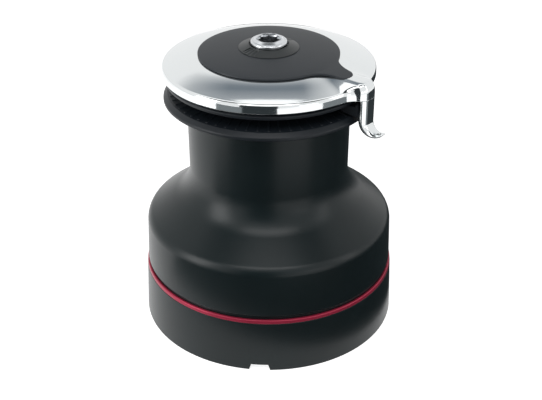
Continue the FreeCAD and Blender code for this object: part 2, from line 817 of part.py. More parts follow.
def finger_root():
    """The bulge that carries the finger: the dish drawn outwards, with filleted flanks."""
    out_r = finger_in_r + finger_t
    back_x = arm_rim_r - 12
    half = finger_w / 2
    flank = half + finger_root_round
    reach = math.sqrt((arm_rim_r + finger_root_round) ** 2 - flank ** 2)
    touch = arm_rim_r / (arm_rim_r + finger_root_round)
    middle = 1.25 * math.pi + math.atan2(flank, reach) / 2
    on_rim = vector(reach * touch, flank * touch)
    on_fillet = vector(reach, flank) + vector(math.cos(middle), math.sin(middle)) * finger_root_round
    on_side = vector(reach, half)
    corner = vector(out_r + 2, half)
    inner = vector(back_x, on_rim.y)
    outline = [
        Part.LineSegment(inner, on_rim).toShape(),
        Part.Arc(on_rim, on_fillet, on_side).toShape(),
        Part.LineSegment(on_side, corner).toShape(),
        Part.LineSegment(corner, mirrored(corner)).toShape(),
        Part.LineSegment(mirrored(corner), mirrored(on_side)).toShape(),
        Part.Arc(mirrored(on_side), mirrored(on_fillet), mirrored(on_rim)).toShape(),
        Part.LineSegment(mirrored(on_rim), mirrored(inner)).toShape(),
        Part.LineSegment(mirrored(inner), inner).toShape()]
    prism = Part.Face(Part.Wire(outline)).extrude(vector(0, 0, arm_h + 4))
    drawn = turned([
        (arm_rim_r - arm_rim_wall, arm_z), (out_r + 0.3, arm_z, 0.8), (out_r + 0.3, arm_slope_z(arm_rim_r), arm_round),
        (arm_rim_r - arm_round, arm_slope_z(arm_rim_r - arm_round))])
    return moved(prism, 0, 0, arm_z - 2).common(drawn)


def strap_section(radius, height, heading, thickness):
    """A rounded cross-section of the finger, square to its path; a heading of 0 points down."""
    turn = math.radians(heading)
    across = vector(math.cos(turn), 0, math.sin(turn))
    round_r = min(finger_edge_round, 0.42 * thickness)
    half_w = finger_w / 2
    half_t = thickness / 2
    corners = [(-half_w, -half_t, round_r), (half_w, -half_t, round_r), (half_w, half_t, round_r),
               (-half_w, half_t, round_r)]
    return rounded_wire(corners, lambda a, b: vector(radius, a, height) + across * b)


def finger():
    """The hanging finger along +X: a straight strap, lofted on round the bend of its thinning toe.

    The bend is never tighter than the strap is thick, and ends where the toe reaches its radius.
    """
    middle = finger_in_r + finger_t / 2
    bend_z = arm_z - toe_bend_drop
    reach = toe_r - middle
    bend_r = max(finger_t, reach / (1 - math.cos(math.radians(toe_turn))))
    full_turn = math.degrees(math.acos(1 - reach / bend_r))
    strap = Part.Face(strap_section(middle, bend_z, 0, finger_t)).extrude(vector(0, 0, toe_bend_drop + finger_t / 2))
    sections = []
    for step in range(toe_steps + 1):
        heading = full_turn * step / toe_steps
        turn = math.radians(heading)
        thickness = finger_t - (finger_t - toe_tip_t) * step / toe_steps
        radius = middle + bend_r * (1 - math.cos(turn))
        sections.append(strap_section(radius, bend_z - bend_r * math.sin(turn), heading, thickness))
    return strap.fuse(Part.makeLoft(sections, True, False))


def stripper_arm():
    root = spun(finger_root(), finger_azimuth)
    hanging = spun(finger(), finger_azimuth)
    hole = screw_hole(medium_screw, arm_h, arm_top - arm_screw_sink, arm_screw_r, arm_screw_sink)
    holes = around(hole, centre_screw_count, centre_screw_first)
    arm = arm_blank(arm_rim_r).fuse([root, hanging]).removeSplitter()
    return arm.cut(Part.makeCompound(holes))


def arm_screws():
    screw = screw_down(medium_screw, arm_screw_l, arm_top - arm_screw_sink, arm_screw_r)
    return Part.makeCompound(around(screw, centre_screw_count, centre_screw_first))


def peeler():
    """The tongue that lifts the rope out of the jaws, screwed to the finger's inner face."""
    pad_r = finger_in_r - peeler_pad_t
    half = peeler_w / 2
    tip_r = peeler_reach_r
    mouth_r_out = lower_lip_r
    gap = peeler_gap + jaw_rib_h
    low_tip = lower_face_z(tip_r) + gap
    high_tip = upper_face_z(tip_r) - gap
    low_out = lower_face_z(mouth_r_out) + gap
    high_out = upper_face_z(mouth_r_out) - gap
    pad_foot = low_out - peeler_pad_down
    pad_head = high_out + peeler_pad_up
    side = [
        (tip_r, low_tip), (mouth_r_out, low_out), (pad_r, low_out), (pad_r, pad_foot), (finger_in_r, pad_foot),
        (finger_in_r, pad_head), (pad_r, pad_head), (pad_r, high_out), (mouth_r_out, high_out),
        (tip_r, high_tip)]
    face = Part.Face(rounded_wire(side, lambda a, b: vector(a, -half, b)))
    blade = face.extrude(vector(0, peeler_w, 0))
    tip_half = peeler_tip_w / 2
    wide_r = tip_r + peeler_taper
    plan = slab([(tip_r, -tip_half, 2.0), (wide_r, -half, 6.0), (finger_in_r, -half), (finger_in_r, half),
                 (wide_r, half, 6.0), (tip_r, tip_half, 2.0)], pad_foot - 1, pad_head + 1)
    return spun(blade.common(plan), finger_azimuth)


# Centre pieces


def arm_support():
    shoulder = drum_top + support_flange_t
    support = turned([
        (support_bore_r, drum_top), (support_flange_r, drum_top), (support_flange_r, shoulder, 1.0),
        (support_boss_r, shoulder, 1.0), (support_boss_r, arm_hub_z), (support_tube_r, arm_hub_z),
        (support_tube_r, support_top, 0.6), (support_bore_r, support_top)])
    low_hole = screw_hole(medium_screw, support_flange_t, shoulder, support_screw_r)
    high_hole = screw_hole(medium_screw, arm_tap_depth, arm_hub_z, arm_screw_r)
    holes = around(low_hole, centre_screw_count, centre_screw_first)
    holes += around(high_hole, centre_screw_count, centre_screw_first)
    return support.cut(Part.makeCompound(holes))


def arm_support_screws():
    screw = screw_down(medium_screw, support_flange_t + support_screw_grip, drum_top + support_flange_t,
                       support_screw_r)
    return Part.makeCompound(around(screw, centre_screw_count, centre_screw_first))


def cover_outline():
    """Half of the cover's plan as arcs: a disc drawn out into one blunt pointer along +X."""
    corner = vector(pointer_r - pointer_nose_round, pointer_half_w)
    far = cover_r + pointer_flank_round
    gap = corner.Length
    along = (gap ** 2 + far ** 2 - pointer_flank_round ** 2) / (2 * gap)
    aside = math.sqrt(far ** 2 - along ** 2)
    unit = corner * (1 / gap)
    normal = vector(-unit.y, unit.x)
    centre = unit * along + normal * aside
    on_disc = centre * (cover_r / far)
    mid_way = ((on_disc - centre) + (corner - centre)).normalize()
    flank_mid = centre + mid_way * pointer_flank_round
    return on_disc, flank_mid, corner


def top_cover():
    on_disc, flank_mid, corner = cover_outline()
    nose = vector(pointer_r, 0)
    outline = [
        Part.Arc(on_disc, vector(-cover_r, 0), mirrored(on_disc)).toShape(),
        Part.Arc(mirrored(on_disc), mirrored(flank_mid), mirrored(corner)).toShape(),
        Part.Arc(mirrored(corner), nose, corner).toShape(),
        Part.Arc(corner, flank_mid, on_disc).toShape()]
    prism = Part.Face(Part.Wire(outline)).extrude(vector(0, 0, cover_crown + 2 * arm_slope_drop))
    prism = moved(prism, 0, 0, arm_top - arm_slope_drop)
    bore_r = nut_skirt_r + cover_bore_fit
    skin = turned([
        (bore_r, arm_top), (cover_r, arm_top), (arm_rim_r, arm_slope_z(arm_rim_r)),
        (arm_rim_r, arm_slope_z(arm_rim_r) + cover_t), (cover_r, arm_top + cover_t, cover_fall_round),
        (cover_flat_r, cover_top), (bore_r, cover_top)])
    return spun(prism.common(skin), pointer_azimuth)


def cover_nut():
    ledge = support_top + axial_play
    bore_r = socket_r + nut_fit
    ring = turned([
        (bore_r, ledge), (support_tube_r + running_fit, ledge),
        (support_tube_r + running_fit, cover_top - nut_skirt_h), (nut_skirt_r, cover_top - nut_skirt_h),
        (nut_skirt_r, cover_top), (nut_out_r, cover_top), (nut_out_r, cover_top + nut_lead, 0.4),
        (nut_top_r, nut_top, 1.2), (bore_r, nut_top)])
    slot = box(nut_top_r - nut_slot_end, nut_out_r + 1, -nut_slot_w / 2, nut_slot_w / 2,
               cover_top - nut_slot_depth, nut_top + 1)
    return ring.cut(Part.makeCompound(around(slot, 2, nut_slot_azimuth)))


def spindle():
    """The handle's socket and its shaft, with the second-speed pinion cut in it."""
    gear_low = second_z - 0.5
    gear_high = second_z + gear_face + 0.5
    foot_z = pin_seat_floor + axial_play
    pinion_root = second_module * (second_drive_teeth / 2 - dedendum)
    pinion_tip = second_module * (second_drive_teeth / 2 + addendum)
    groove_z = first_z - circlip_t
    shoulder_z = socket_top - socket_shoulder
    shoulder_r = socket_r - socket_shoulder + socket_groove
    body = turned([
        (0, foot_z), (spindle_foot_r, foot_z, 0.6), (spindle_foot_r, plate_h + axial_play),
        (spindle_gear_seat_r, plate_h + axial_play), (spindle_gear_seat_r, groove_z),
        (spindle_gear_seat_r - circlip_groove, groove_z), (spindle_gear_seat_r - circlip_groove, first_z),
        (spindle_gear_seat_r, first_z), (spindle_gear_seat_r, first_z + gear_face),
        (pinion_tip, first_z + gear_face), (pinion_tip, gear_low), (pinion_root, gear_low),
        (pinion_root, gear_high), (spindle_r, gear_high), (spindle_r, socket_top - socket_l),
        (socket_r, socket_top - socket_l), (socket_r, shoulder_z, 2.2), (shoulder_r, shoulder_z + 0.7),
        (shoulder_r - socket_groove, shoulder_z + socket_groove), (mouth_r + mouth_lip, socket_top, 0.4),
        (mouth_r, socket_top - mouth_lip), (mouth_r, socket_top - mouth_step), (0, socket_top - mouth_step)])
    teeth = outside_gear(second_drive_teeth, second_module, second_drive_phase, gear_low, gear_high, 3)
    half = star_square / 2
    square = box(-half, half, -half, half, socket_top - star_depth, socket_top)
    star = square.fuse(spun(square, 45))
    key_way = box(spindle_gear_seat_r - key_depth, spindle_gear_seat_r + 1, -key_width / 2, key_width / 2,
                  first_z + 0.5, first_z + gear_face)
    return body.fuse(teeth).cut(star).cut(spun(key_way, key_azimuth)).removeSplitter()


def first_drive_gear():
    gear = outside_gear(first_drive_teeth, first_module, first_drive_phase, first_z, first_z + gear_face, 3)
    bore = post(spindle_gear_seat_r + running_fit, first_z, first_z + gear_face)
    key_way = box(0, spindle_gear_seat_r + key_depth + 0.1, -key_width / 2 - running_fit, key_width / 2 + running_fit,
                  first_z, first_z + gear_face)
    return gear.cut(bore).cut(spun(key_way, key_azimuth))


def drive_key():
    key = box(spindle_gear_seat_r - key_depth, spindle_gear_seat_r + key_depth, -key_width / 2, key_width / 2,
              first_z + 0.5, first_z + gear_face)
    return spun(key, key_azimuth)


def drive_circlip():
    out_r = spindle_gear_seat_r + circlip_out
    ring = tube(spindle_gear_seat_r - circlip_groove + running_fit, out_r, first_z - circlip_t, first_z)
    opening = box(0, out_r, -circlip_gap / 2, circlip_gap / 2, first_z - circlip_t, first_z)
    return ring.cut(spun(opening, circlip_azimuth))


# Final shaft: pinion, pawls, ratchet gears


def pawl_shape(height):
    """A pawl lying folded, pivot at the origin, pointing along +Y, its outer side towards +X."""
    heel = post(pawl_heel_r, 0, height)
    slant = 2 * pawl_half_t * math.tan(pawl_tip_slant)
    arm = slab([(-pawl_half_t, 0), (pawl_half_t, 0), (pawl_half_t, pawl_length),
                (-pawl_half_t, pawl_length - slant)], 0, height)
    return heel.fuse(arm).removeSplitter()


def pawl_pocket(height):
    """The room in the carrier for a pawl between folded and raised, with its spring's recess."""
    seat = post(pawl_heel_r + pawl_fit, 0, height)
    floor = -pawl_half_t - pawl_room
    end = pawl_length + pawl_end_room
    side = pawl_half_t + pawl_room
    lean = end * math.tan(math.radians(pawl_swing + pawl_swing_room))
    room = slab([(floor, 0), (floor, end), (side + lean, end), (side, 0)], 0, height)
    middle = height / 2
    half_h = spring_strip_h / 2 + axial_play
    recess = box(floor - spring_pocket_depth, 0, spring_foot_y - spring_room, spring_heel_y + spring_room,
                 middle - half_h, middle + half_h)
    return seat.fuse([room, recess])


def pawl_spring(swing):
    """A bent steel strip between the recess and a pawl raised by swing degrees."""
    floor = -pawl_half_t - pawl_room - spring_pocket_depth + 0.05
    turn = math.radians(swing)
    lean_x = (spring_touch_y * math.sin(turn) - pawl_half_t) / math.cos(turn) - pawl_fit * 2
    t = spring_strip_t
    bend_y = spring_heel_y - 1.6 * t
    corners = [(floor, spring_foot_y), (floor, spring_heel_y), (floor + 1.4 * t, spring_heel_y),
               (lean_x, spring_touch_y), (lean_x - 1.05 * t, spring_touch_y - 0.2 * t),
               (floor + t, bend_y), (floor + t, spring_foot_y)]
    middle = gear_face / 2
    return slab(corners, middle - spring_strip_h / 2, middle + spring_strip_h / 2)


def on_carrier(shape, level_z, side):
    """Moves a shape from a pawl's own place to the carrier at a level, on one of its two sides."""
    placed = moved(shape, pawl_pivot_r, 0, level_z)
    placed.rotate(vector(0, 0), vector(0, 0, 1), pawl_first + 180.0 * side)
    return moved(placed, final_at[0], final_at[1])


def pawl(level_z, side, swing):
    raised = spun(pawl_shape(gear_face - pawl_end_play), -swing)
    return on_carrier(moved(raised, 0, 0, pawl_end_play / 2), level_z, side)


def final_pinion():
    low = plate_h + washer_t + axial_play
    body = tube(pinion_bore_r, pinion_root_r, low, pinion_top, final_at)
    lower = tube(pinion_bore_r, carrier_r, first_z + axial_play / 2, first_z + gear_face, final_at)
    upper = tube(pinion_bore_r, carrier_r, second_z, second_z + gear_face, final_at)
    teeth = outside_gear(pinion_teeth, ring_module, shaft_azimuth, pinion_z, pinion_top, 3)
    teeth = moved(teeth.cut(post(pinion_bore_r, pinion_z, pinion_top)), final_at[0], final_at[1])
    body = body.fuse([lower, upper, teeth])
    pockets = [on_carrier(pawl_pocket(gear_face), z, side) for z in (first_z, second_z) for side in (0, 1)]
    return body.cut(Part.makeCompound(pockets)).removeSplitter()


def pinion_bushes():
    low = plate_h + washer_t + axial_play
    inner = final_pin_r + running_fit
    foot = tube(inner, pinion_bore_r, low, low + bush_l, final_at)
    head = tube(inner, pinion_bore_r, pinion_top - bush_l, pinion_top, final_at)
    return Part.makeCompound([foot, head])


def ratchet_opening(z0, z1):
    """The saw-toothed opening in a gear, centred on the final shaft, one step face for each tooth."""
    tip_angle = pawl_first + folded_tip_angle()
    land_r = carrier_r + ratchet_gap
    deep_r = land_r + ratchet_depth
    pitch = 360.0 / ratchet_teeth
    points = []
    for tooth in range(ratchet_teeth):
        face = tip_angle + ratchet_lash + pitch * tooth
        points.append(polar(land_r, face - pitch))
        points.append(polar(land_r, face - pitch + ratchet_land))
        points.append(polar(deep_r, face - ratchet_step))
        points.append(polar(deep_r, face))
        points.append(polar(land_r, face))
    return slab(points, z0, z1)


def folded_tip_angle():
    """Angle of a folded pawl's tip about the final shaft, from its pivot's direction."""
    return math.degrees(math.atan2(pawl_length, pawl_pivot_r + pawl_half_t))


def first_speed_gear():
    gear = outside_gear(first_driven_teeth, first_module, first_driven_phase, first_z, first_z + gear_face, 3)
    opening = ratchet_opening(first_z, first_z + gear_face)
    return moved(gear.cut(opening), final_at[0], final_at[1])


def second_speed_gear():
    top = second_z + gear_face
    gear = outside_gear(second_driven_teeth, second_module, second_driven_phase, second_z, top, 2)
    boss_r = carrier_r + gear_boss_w
    low = first_z + gear_face + axial_play
    boss = post(boss_r, low, second_z)
    opening = ratchet_opening(second_z, top).fuse(post(carrier_r + gear_boss_room, low, second_z))
    return moved(gear.fuse(boss).cut(opening), final_at[0], final_at[1])


def idler_gear():
    gear = outside_gear(idler_teeth, first_module, idler_phase, first_z, first_z + gear_face, 3)
    return moved(gear.cut(post(idler_pin_r + running_fit, first_z, first_z + gear_face)), *idler_at)


pieces = {
    "base_plate": base_plate(),
    "base_skirt": base_skirt(),
    "trim_ring": trim_ring(),
    "gear_housing": gear_housing(),
    "housing_screws": housing_screws(),
    "center_stem": center_stem(),
    "stem_screws": stem_screws(),
    "final_shaft_pin": final_shaft_pin(),
    "idler_pin": idler_pin(),
    "thrust_washers": thrust_washers(),
    "spindle_foot_bush": spindle_foot_bush(),
    "spindle_bushes": spindle_bushes(),
    "bearing_spacer": bearing_spacer(),
    "lower_bearing_cage": bearing_cage(lower_cage_z),
    "lower_bearing_rollers": bearing_rollers(lower_cage_z),
    "upper_bearing_cage": bearing_cage(upper_cage_z),
    "upper_bearing_rollers": bearing_rollers(upper_cage_z),
    "drum": drum(),
    "ring_gear": ring_gear(),
    "ring_gear_screws": ring_gear_screws(),
    "lower_jaw": lower_jaw(),
    "upper_jaw": upper_jaw(),
    "jaw_screws": jaw_screws(),
    "jaw_wave_spring": jaw_wave_spring(),
    "arm_support": arm_support(),
    "arm_support_screws": arm_support_screws(),
    "stripper_arm": stripper_arm(),
    "arm_screws": arm_screws(),
    "peeler": peeler(),
    "top_cover": top_cover(),
    "cover_nut": cover_nut(),
    "spindle": spindle(),
    "first_drive_gear": first_drive_gear(),
    "drive_key": drive_key(),
    "drive_circlip": drive_circlip(),
    "final_pinion": final_pinion(),
    "pinion_bushes": pinion_bushes(),
    "first_speed_gear": first_speed_gear(),
    "second_speed_gear": second_speed_gear(),
    "idler_gear": idler_gear(),
    "first_pawl_a": pawl(first_z, 0, pawl_swing),
    "first_pawl_b": pawl(first_z, 1, pawl_swing),
    "second_pawl_a": pawl(second_z, 0, 0.0),
    "second_pawl_b": pawl(second_z, 1, 0.0),
    "first_pawl_spring_a": on_carrier(pawl_spring(pawl_swing), first_z, 0),
    "first_pawl_spring_b": on_carrier(pawl_spring(pawl_swing), first_z, 1),
    "second_pawl_spring_a": on_carrier(pawl_spring(0.0), second_z, 0),
    "second_pawl_spring_b": on_carrier(pawl_spring(0.0), second_z, 1),
}

os.makedirs("parts", exist_ok=True)
for name, shape in pieces.items():
    shape.exportStep("parts/" + name + ".step")
    print(name, len(shape.Solids), round(shape.Volume / 1000, 2), "cm3", "valid" if shape.isValid() else "INVALID")
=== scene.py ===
"""Looks of a large two-speed self-tailing winch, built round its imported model.

Metres throughout. The drum's axis is Z, the deck is the plane z = 0, and the front looks along -Y.
"""

import math

import bpy
from bpy.props import FloatProperty, FloatVectorProperty, IntProperty, PointerProperty
from mathutils import Matrix, Vector


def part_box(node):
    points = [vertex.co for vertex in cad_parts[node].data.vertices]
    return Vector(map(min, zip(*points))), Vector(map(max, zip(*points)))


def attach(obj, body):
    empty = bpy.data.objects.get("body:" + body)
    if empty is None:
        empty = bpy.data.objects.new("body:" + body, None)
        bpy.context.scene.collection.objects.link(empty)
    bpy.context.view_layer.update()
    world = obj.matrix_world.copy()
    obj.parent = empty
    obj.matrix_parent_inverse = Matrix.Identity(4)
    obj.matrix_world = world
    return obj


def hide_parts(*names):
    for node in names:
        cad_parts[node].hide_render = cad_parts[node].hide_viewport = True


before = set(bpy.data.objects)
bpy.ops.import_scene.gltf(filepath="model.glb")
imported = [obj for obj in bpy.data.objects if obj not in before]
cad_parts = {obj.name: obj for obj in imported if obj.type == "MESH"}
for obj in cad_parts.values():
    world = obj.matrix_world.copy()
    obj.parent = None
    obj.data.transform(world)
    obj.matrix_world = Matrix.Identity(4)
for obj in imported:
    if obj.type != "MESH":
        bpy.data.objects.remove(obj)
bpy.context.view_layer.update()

bl_info = {
    "name": "Self-tailing winch",
    "version": (1, 0, 0),
    "blender": (4, 5, 0),
    "location": "View3D > Sidebar > Winch",
    "description": "Builds the visible shells, finishes and studio of a self-tailing winch",
    "category": "Object",
}


def edge(node, axis, high):
    """One side of a node's box: axis 0, 1 or 2, at its high or its low end."""
    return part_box(node)[1 if high else 0][axis]


def bore_radius(node):
    """Smallest distance of a turned node's points from the drum's axis."""
    return min(math.hypot(v.co.x, v.co.y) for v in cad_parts[node].data.vertices)


# Settings


def length(name, description, default, lowest=0.0):
    return FloatProperty(name=name, description=description, default=default, min=lowest, unit="LENGTH",
                         precision=4)


def angle(name, description, degrees):
    return FloatProperty(name=name, description=description, default=math.radians(degrees), unit="ROTATION")


def count(name, description, default):
    return IntProperty(name=name, description=description, default=default, min=3)


def share(name, description, default):
    return FloatProperty(name=name, description=description, default=default, min=0.0, max=1.0,
                         subtype="FACTOR")


def colour(name, description, default):
    return FloatVectorProperty(name=name, description=description, default=default, size=3, min=0.0, max=1.0,
                               subtype="COLOR")


class BaseSettings(bpy.types.PropertyGroup):
    skirt_foot: length("Skirt foot", "Radius of the skirt at the deck", edge("base_skirt", 0, True))
    skirt_lean: length("Skirt lean", "How far the skirt draws in towards its top", 0.0024)
    skirt_wall: length("Skirt wall", "Thickness of the skirt at its top", 0.0052)
    skirt_edge: length("Skirt edge", "Rounding of the skirt's edges", 0.0006)
    notch_width: length("Notch width", "Width of a drain notch at its roof", 0.018)
    notch_height: length("Notch height", "Height of a drain notch", 0.0065)
    notch_slope: length("Notch slope", "How far each side of a notch leans out at the deck", 0.0022)
    notch_first: angle("First notch", "Azimuth of the drain notch at the front", -94.0)
    notches: count("Notches", "Number of drain notches", 4)
    band_depth: length("Band depth", "Radial depth of the red band", 0.0031)
    band_lean: length("Band lean", "How far the band draws in towards its top", 0.0004)
    band_foot_round: length("Band foot rounding", "Rounding of the band's lower outer edge", 0.0005)
    band_top_round: length("Band top rounding", "Rounding of the band's upper outer edge", 0.0012)
    band_inner_round: length("Band inner rounding", "Rounding of the band's inner edges", 0.0004)


class DrumSettings(bpy.types.PropertyGroup):
    foot: length("Foot", "Radius of the drum's lower edge", 0.1359)
    shoulder: length("Shoulder", "Radius at the top of the upright wall", 0.1340)
    shoulder_height: length("Shoulder height", "Height of the upright wall", 0.0524)
    shoulder_round: length("Shoulder rounding", "Radius of the bend from wall to cone", 0.0140)
    cone: angle("Cone", "Slope of the cone above the level", 36.0)
    waist: length("Waist", "Radius at the foot of the waist", 0.0857)
    waist_top: length("Waist top", "Radius at the top of the waist", 0.0862)
    waist_round: length("Waist rounding", "Radius of the bend from cone to waist", 0.0428)
    wall: length("Wall", "Thickness of the drum's skirt and cone", 0.0062)
    foot_round: length("Foot rounding", "Rounding of the drum's lower edges", 0.0008)
    top_round: length("Top rounding", "Rounding of the drum's upper outer edge", 0.0010)
    bore_round: length("Bore rounding", "Rounding of the bore's upper edge", 0.0005)
    bore_depth: length("Bore depth", "Depth of the bore under the drum's top", 0.028)
    step_depth: length("Step depth", "Depth at which the drum's inside is at its full width", 0.036)
    step_round: length("Step rounding", "Rounding of the step under the bore", 0.004)
    inner_round: length("Inner rounding", "Radius of the bend from cone to waist on the inside", 0.030)


class JawSettings(bpy.types.PropertyGroup):
    lower_rim: length("Lower rim", "Radius of the lower jaw's rim", 0.1104)
    lower_lip: length("Lower lip", "Radius of the lower jaw's mouth", 0.1058)
    upper_rim: length("Upper rim", "Radius of the upper jaw's rim", 0.1080)
    root: length("Groove root", "Radius at the bottom of the rope groove", 0.0800)
    ribs: count("Ribs", "Gripping ribs on each jaw", 60)
    rib_width: length("Rib width", "Width of a rib's top at the groove's root", 0.0009)
    rib_height: length("Rib height", "Height of a rib", 0.0005)
    lower_seat: length("Lower seat", "Radius of the lower jaw's level underside", 0.0920)
    lower_rim_rise: length("Lower rim rise", "Height of the lower jaw's rim over the drum's top", 0.0074)
    lower_rim_wall: length("Lower rim wall", "Height of the lower jaw's upright rim", 0.0036)
    lower_lip_rise: length("Lower lip rise", "Height of the lower jaw's mouth over the drum's top", 0.0154)
    lower_root_rise: length("Lower root rise", "Height of the groove's lower root over the drum", 0.0186)
    upper_neck: length("Upper neck", "Radius of the upper jaw's neck", 0.0740)
    upper_neck_fall: length("Upper neck fall", "How far the neck ends under the groove's upper root", 0.0015)
    upper_rim_rise: length("Upper rim rise", "Height of the upper jaw's mouth over its foot", 0.0292)
    upper_root_rise: length("Upper root rise", "Height of the groove's upper root over that foot", 0.0230)
    recess: length("Recess", "Radius of the recess in the upper jaw's top", 0.0800)
    recess_lean: length("Recess lean", "How far the recess draws in towards its floor", 0.0030)
    recess_depth: length("Recess depth", "Depth of the recess in the upper jaw's top", 0.0070)


class ArmSettings(bpy.types.PropertyGroup):
    rim: length("Rim", "Outer radius of the polished dish", 0.1112)
    face: length("Level face", "Radius at which the dish's face starts to fall", 0.0600)
    crest: length("Crest", "Radius of the edge between the dish's face and its wall", 0.1086)
    fall: length("Fall", "Drop of the dish's face from its level part to that edge", 0.0086)
    wall_bulge: length("Wall bulge", "Height under that edge at which the wall is upright", 0.0046)
    root_lift: length("Root lift", "How much higher the finger's root stands than that edge", 0.0036)
    rim_wall: length("Rim wall", "Thickness of the rim", 0.0040)
    finger: angle("Finger", "Azimuth of the hanging finger", -36.5)
    finger_width: length("Finger width", "Width of the finger", 0.0218)
    finger_inside: length("Finger inside", "Radius of the finger's inner face", 0.1150)
    finger_thickness: length("Finger thickness", "Thickness of the finger", 0.0100)
    root_round: length("Root rounding", "Radius of the fillets beside the finger's root", 0.0200)
    toe: length("Toe", "Radius of the turned-up toe's tip", 0.1412)
    toe_bend: length("Toe bend", "Height of the bend below the dish's lower edge", 0.0230)
    toe_turn: angle("Toe turn", "How far the toe turns from straight down", 130.0)
    toe_tip: length("Toe tip", "Thickness of the toe at its tip", 0.0026)
    toe_width: length("Toe width", "Width of the toe at its tip", 0.0085)
    toe_aside: length("Toe aside", "How far the toe's tip lies off the finger's middle", -0.0025, -0.01)
    finger_crown: length("Finger crown", "How much the finger's outer face bulges", 0.0012)
    tongue: share("Tongue", "How much less the dish falls towards the finger", 0.40)
    finger_corner: length("Finger corner", "Softness of the finger's corners", 0.0028)
    rim_soft: length("Rim softness", "Softness of the rim's lower edges", 0.0009)
    height: length("Height", "Height of the dish", 0.0188)
    web: length("Web", "Thickness of the dish's plate", 0.0050)
    hub: length("Hub", "Radius of the dish's hub", 0.0480)
    hub_fillet: length("Hub fillet", "Width of the bend from the dish's plate to its hub", 0.0060)
    hub_depth: length("Hub depth", "Height of the dish's hub", 0.0164)
    bore: length("Bore", "Radius of the hole through the hub", 0.02505)


class CoverSettings(bpy.types.PropertyGroup):
    disc: length("Disc", "Radius of the cover's disc", 0.0734)
    thickness: length("Thickness", "Height of the cover's edge", 0.0020)
    crown: length("Crown", "Height of the cover's middle over the dish", 0.0056)
    flat: length("Flat", "Radius of the level middle", 0.0316)
    pointer: angle("Pointer", "Azimuth of the pointer", -36.8)
    pointer_rest: share("Pointer rest", "How much of the dish's fall the pointer follows", 0.62)
    pointer_reach: length("Pointer reach", "Radius of the pointer's tip", 0.1010)
    pointer_half: length("Pointer half width", "Half of the pointer's width at its nose", 0.0096)
    nose_round: length("Nose rounding", "Depth of the pointer's blunt nose", 0.0060)
    flank_round: length("Flank rounding", "Radius of the pointer's hollow flanks", 0.0320)
    edge_round: length("Edge rounding", "Rounding of the cover's edge", 0.0007)
    nut_foot: length("Nut foot", "Radius of the nut's foot", 0.0314)
    nut_top: length("Nut top", "Radius of the nut's top", 0.0206)
    nut_bore: length("Nut bore", "Radius of the hole in the nut", 0.0195)
    slot_width: length("Slot width", "Width of the nut's two slots", 0.0130)
    slot_end: length("Slot end", "How far outside the nut's top the slots end", 0.0012)
    slot: angle("Slot", "Azimuth of the first slot", 48.0)


class Finishes(bpy.types.PropertyGroup):
    anodised: colour("Black anodising", "Satin black of the drum and the skirt", (0.0065, 0.0125, 0.0140))
    red: colour("Red anodising", "Crimson of the trim band", (0.40, 0.022, 0.060))
    polish: colour("Polish", "Colour of the polished dish", (0.76, 0.785, 0.79))
    jaw: colour("Jaw plastic", "Near-black of the jaws", (0.0085, 0.0120, 0.0160))
    cover: colour("Cover plastic", "Dark grey of the cover", (0.0145, 0.0190, 0.0240))
    nut: colour("Nut plastic", "Green-grey of the nut", (0.011, 0.0150, 0.0160))
    steel: colour("Stainless steel", "Polished steel of the socket and screws", (0.64, 0.66, 0.68))
    bronze: colour("Bronze", "Gears, bushes and ring gear", (0.52, 0.33, 0.14))
    casting: colour("Casting", "Blasted aluminium of the inner castings", (0.50, 0.51, 0.53))
    gear: colour("Gear steel", "Machined steel of the pinion and pawls", (0.42, 0.42, 0.44))
    bearing: colour("Bearing plastic", "Off-white of the cages and rollers", (0.70, 0.67, 0.58))


class StudioSettings(bpy.types.PropertyGroup):
    camera_back: length("Camera distance", "How far the camera stands in front of the axis", 1.0178)
    camera_height: length("Camera height", "Height of the camera over the deck", 0.7112)
    camera_tilt: angle("Camera tilt", "How far the camera looks down", 29.85)
    camera_lens: FloatProperty(name="Lens", description="Focal length", default=70.1, unit="CAMERA")
    camera_shift: FloatProperty(name="Shift", description="Sideways shift of the frame", default=0.00403)
    floor_size: length("Floor size", "Side of the floor", 6.0)
    floor_glow: share("Floor glow", "How much of the floor's white comes from itself", 0.8)
    ambient: share("Ambient", "Strength of the even light from all sides", 0.30)
    ring_near: length("Ring start", "Inner radius of the dark ring on the floor", 0.205)
    ring_far: length("Ring end", "Outer radius of the dark ring on the floor", 0.50)
    ring_aside: length("Ring aside", "How far the ring's inner circle lies to the right", -0.055, -1.0)
    ring_left: angle("Ring left", "How far round to the left of the front the ring runs", 75.0)
    ring_right: angle("Ring right", "How far round to the right of the front the ring runs", 190.0)
    floor_far: length("Floor end", "Radius at which the cards on the floor end", 1.5)
    front_left: angle("Front card left", "Left end of the dark card in front", 26.0)
    front_right: angle("Front card right", "Right end of the dark card in front", 8.0)
    grey_left: angle("Grey card left", "Left end of the grey card beside it", 53.0)
    side_start: angle("Side card start", "Where the grey card on the right starts", 54.0)
    side_end: angle("Side card end", "Where the dark card beyond it starts", 86.0)
    dark_tone: colour("Dark card", "What the dark cards look like in reflections", (0.035, 0.042, 0.045))
    grey_tone: colour("Grey card", "What the grey cards look like in reflections", (0.22, 0.24, 0.25))
    overhead: FloatProperty(name="Overhead", description="Strength of the bright card overhead", default=1.35)
    overhead_front: length("Overhead front", "Where the bright card overhead ends, behind the axis", 0.10)
    front_height: length("Front height", "Height of the dark card that stands in front", 0.95)
    canopy_height: length("Canopy height", "Height of the cards over the deck", 1.6)


# Outlines

arc_step = math.radians(6)
least_steps = 3


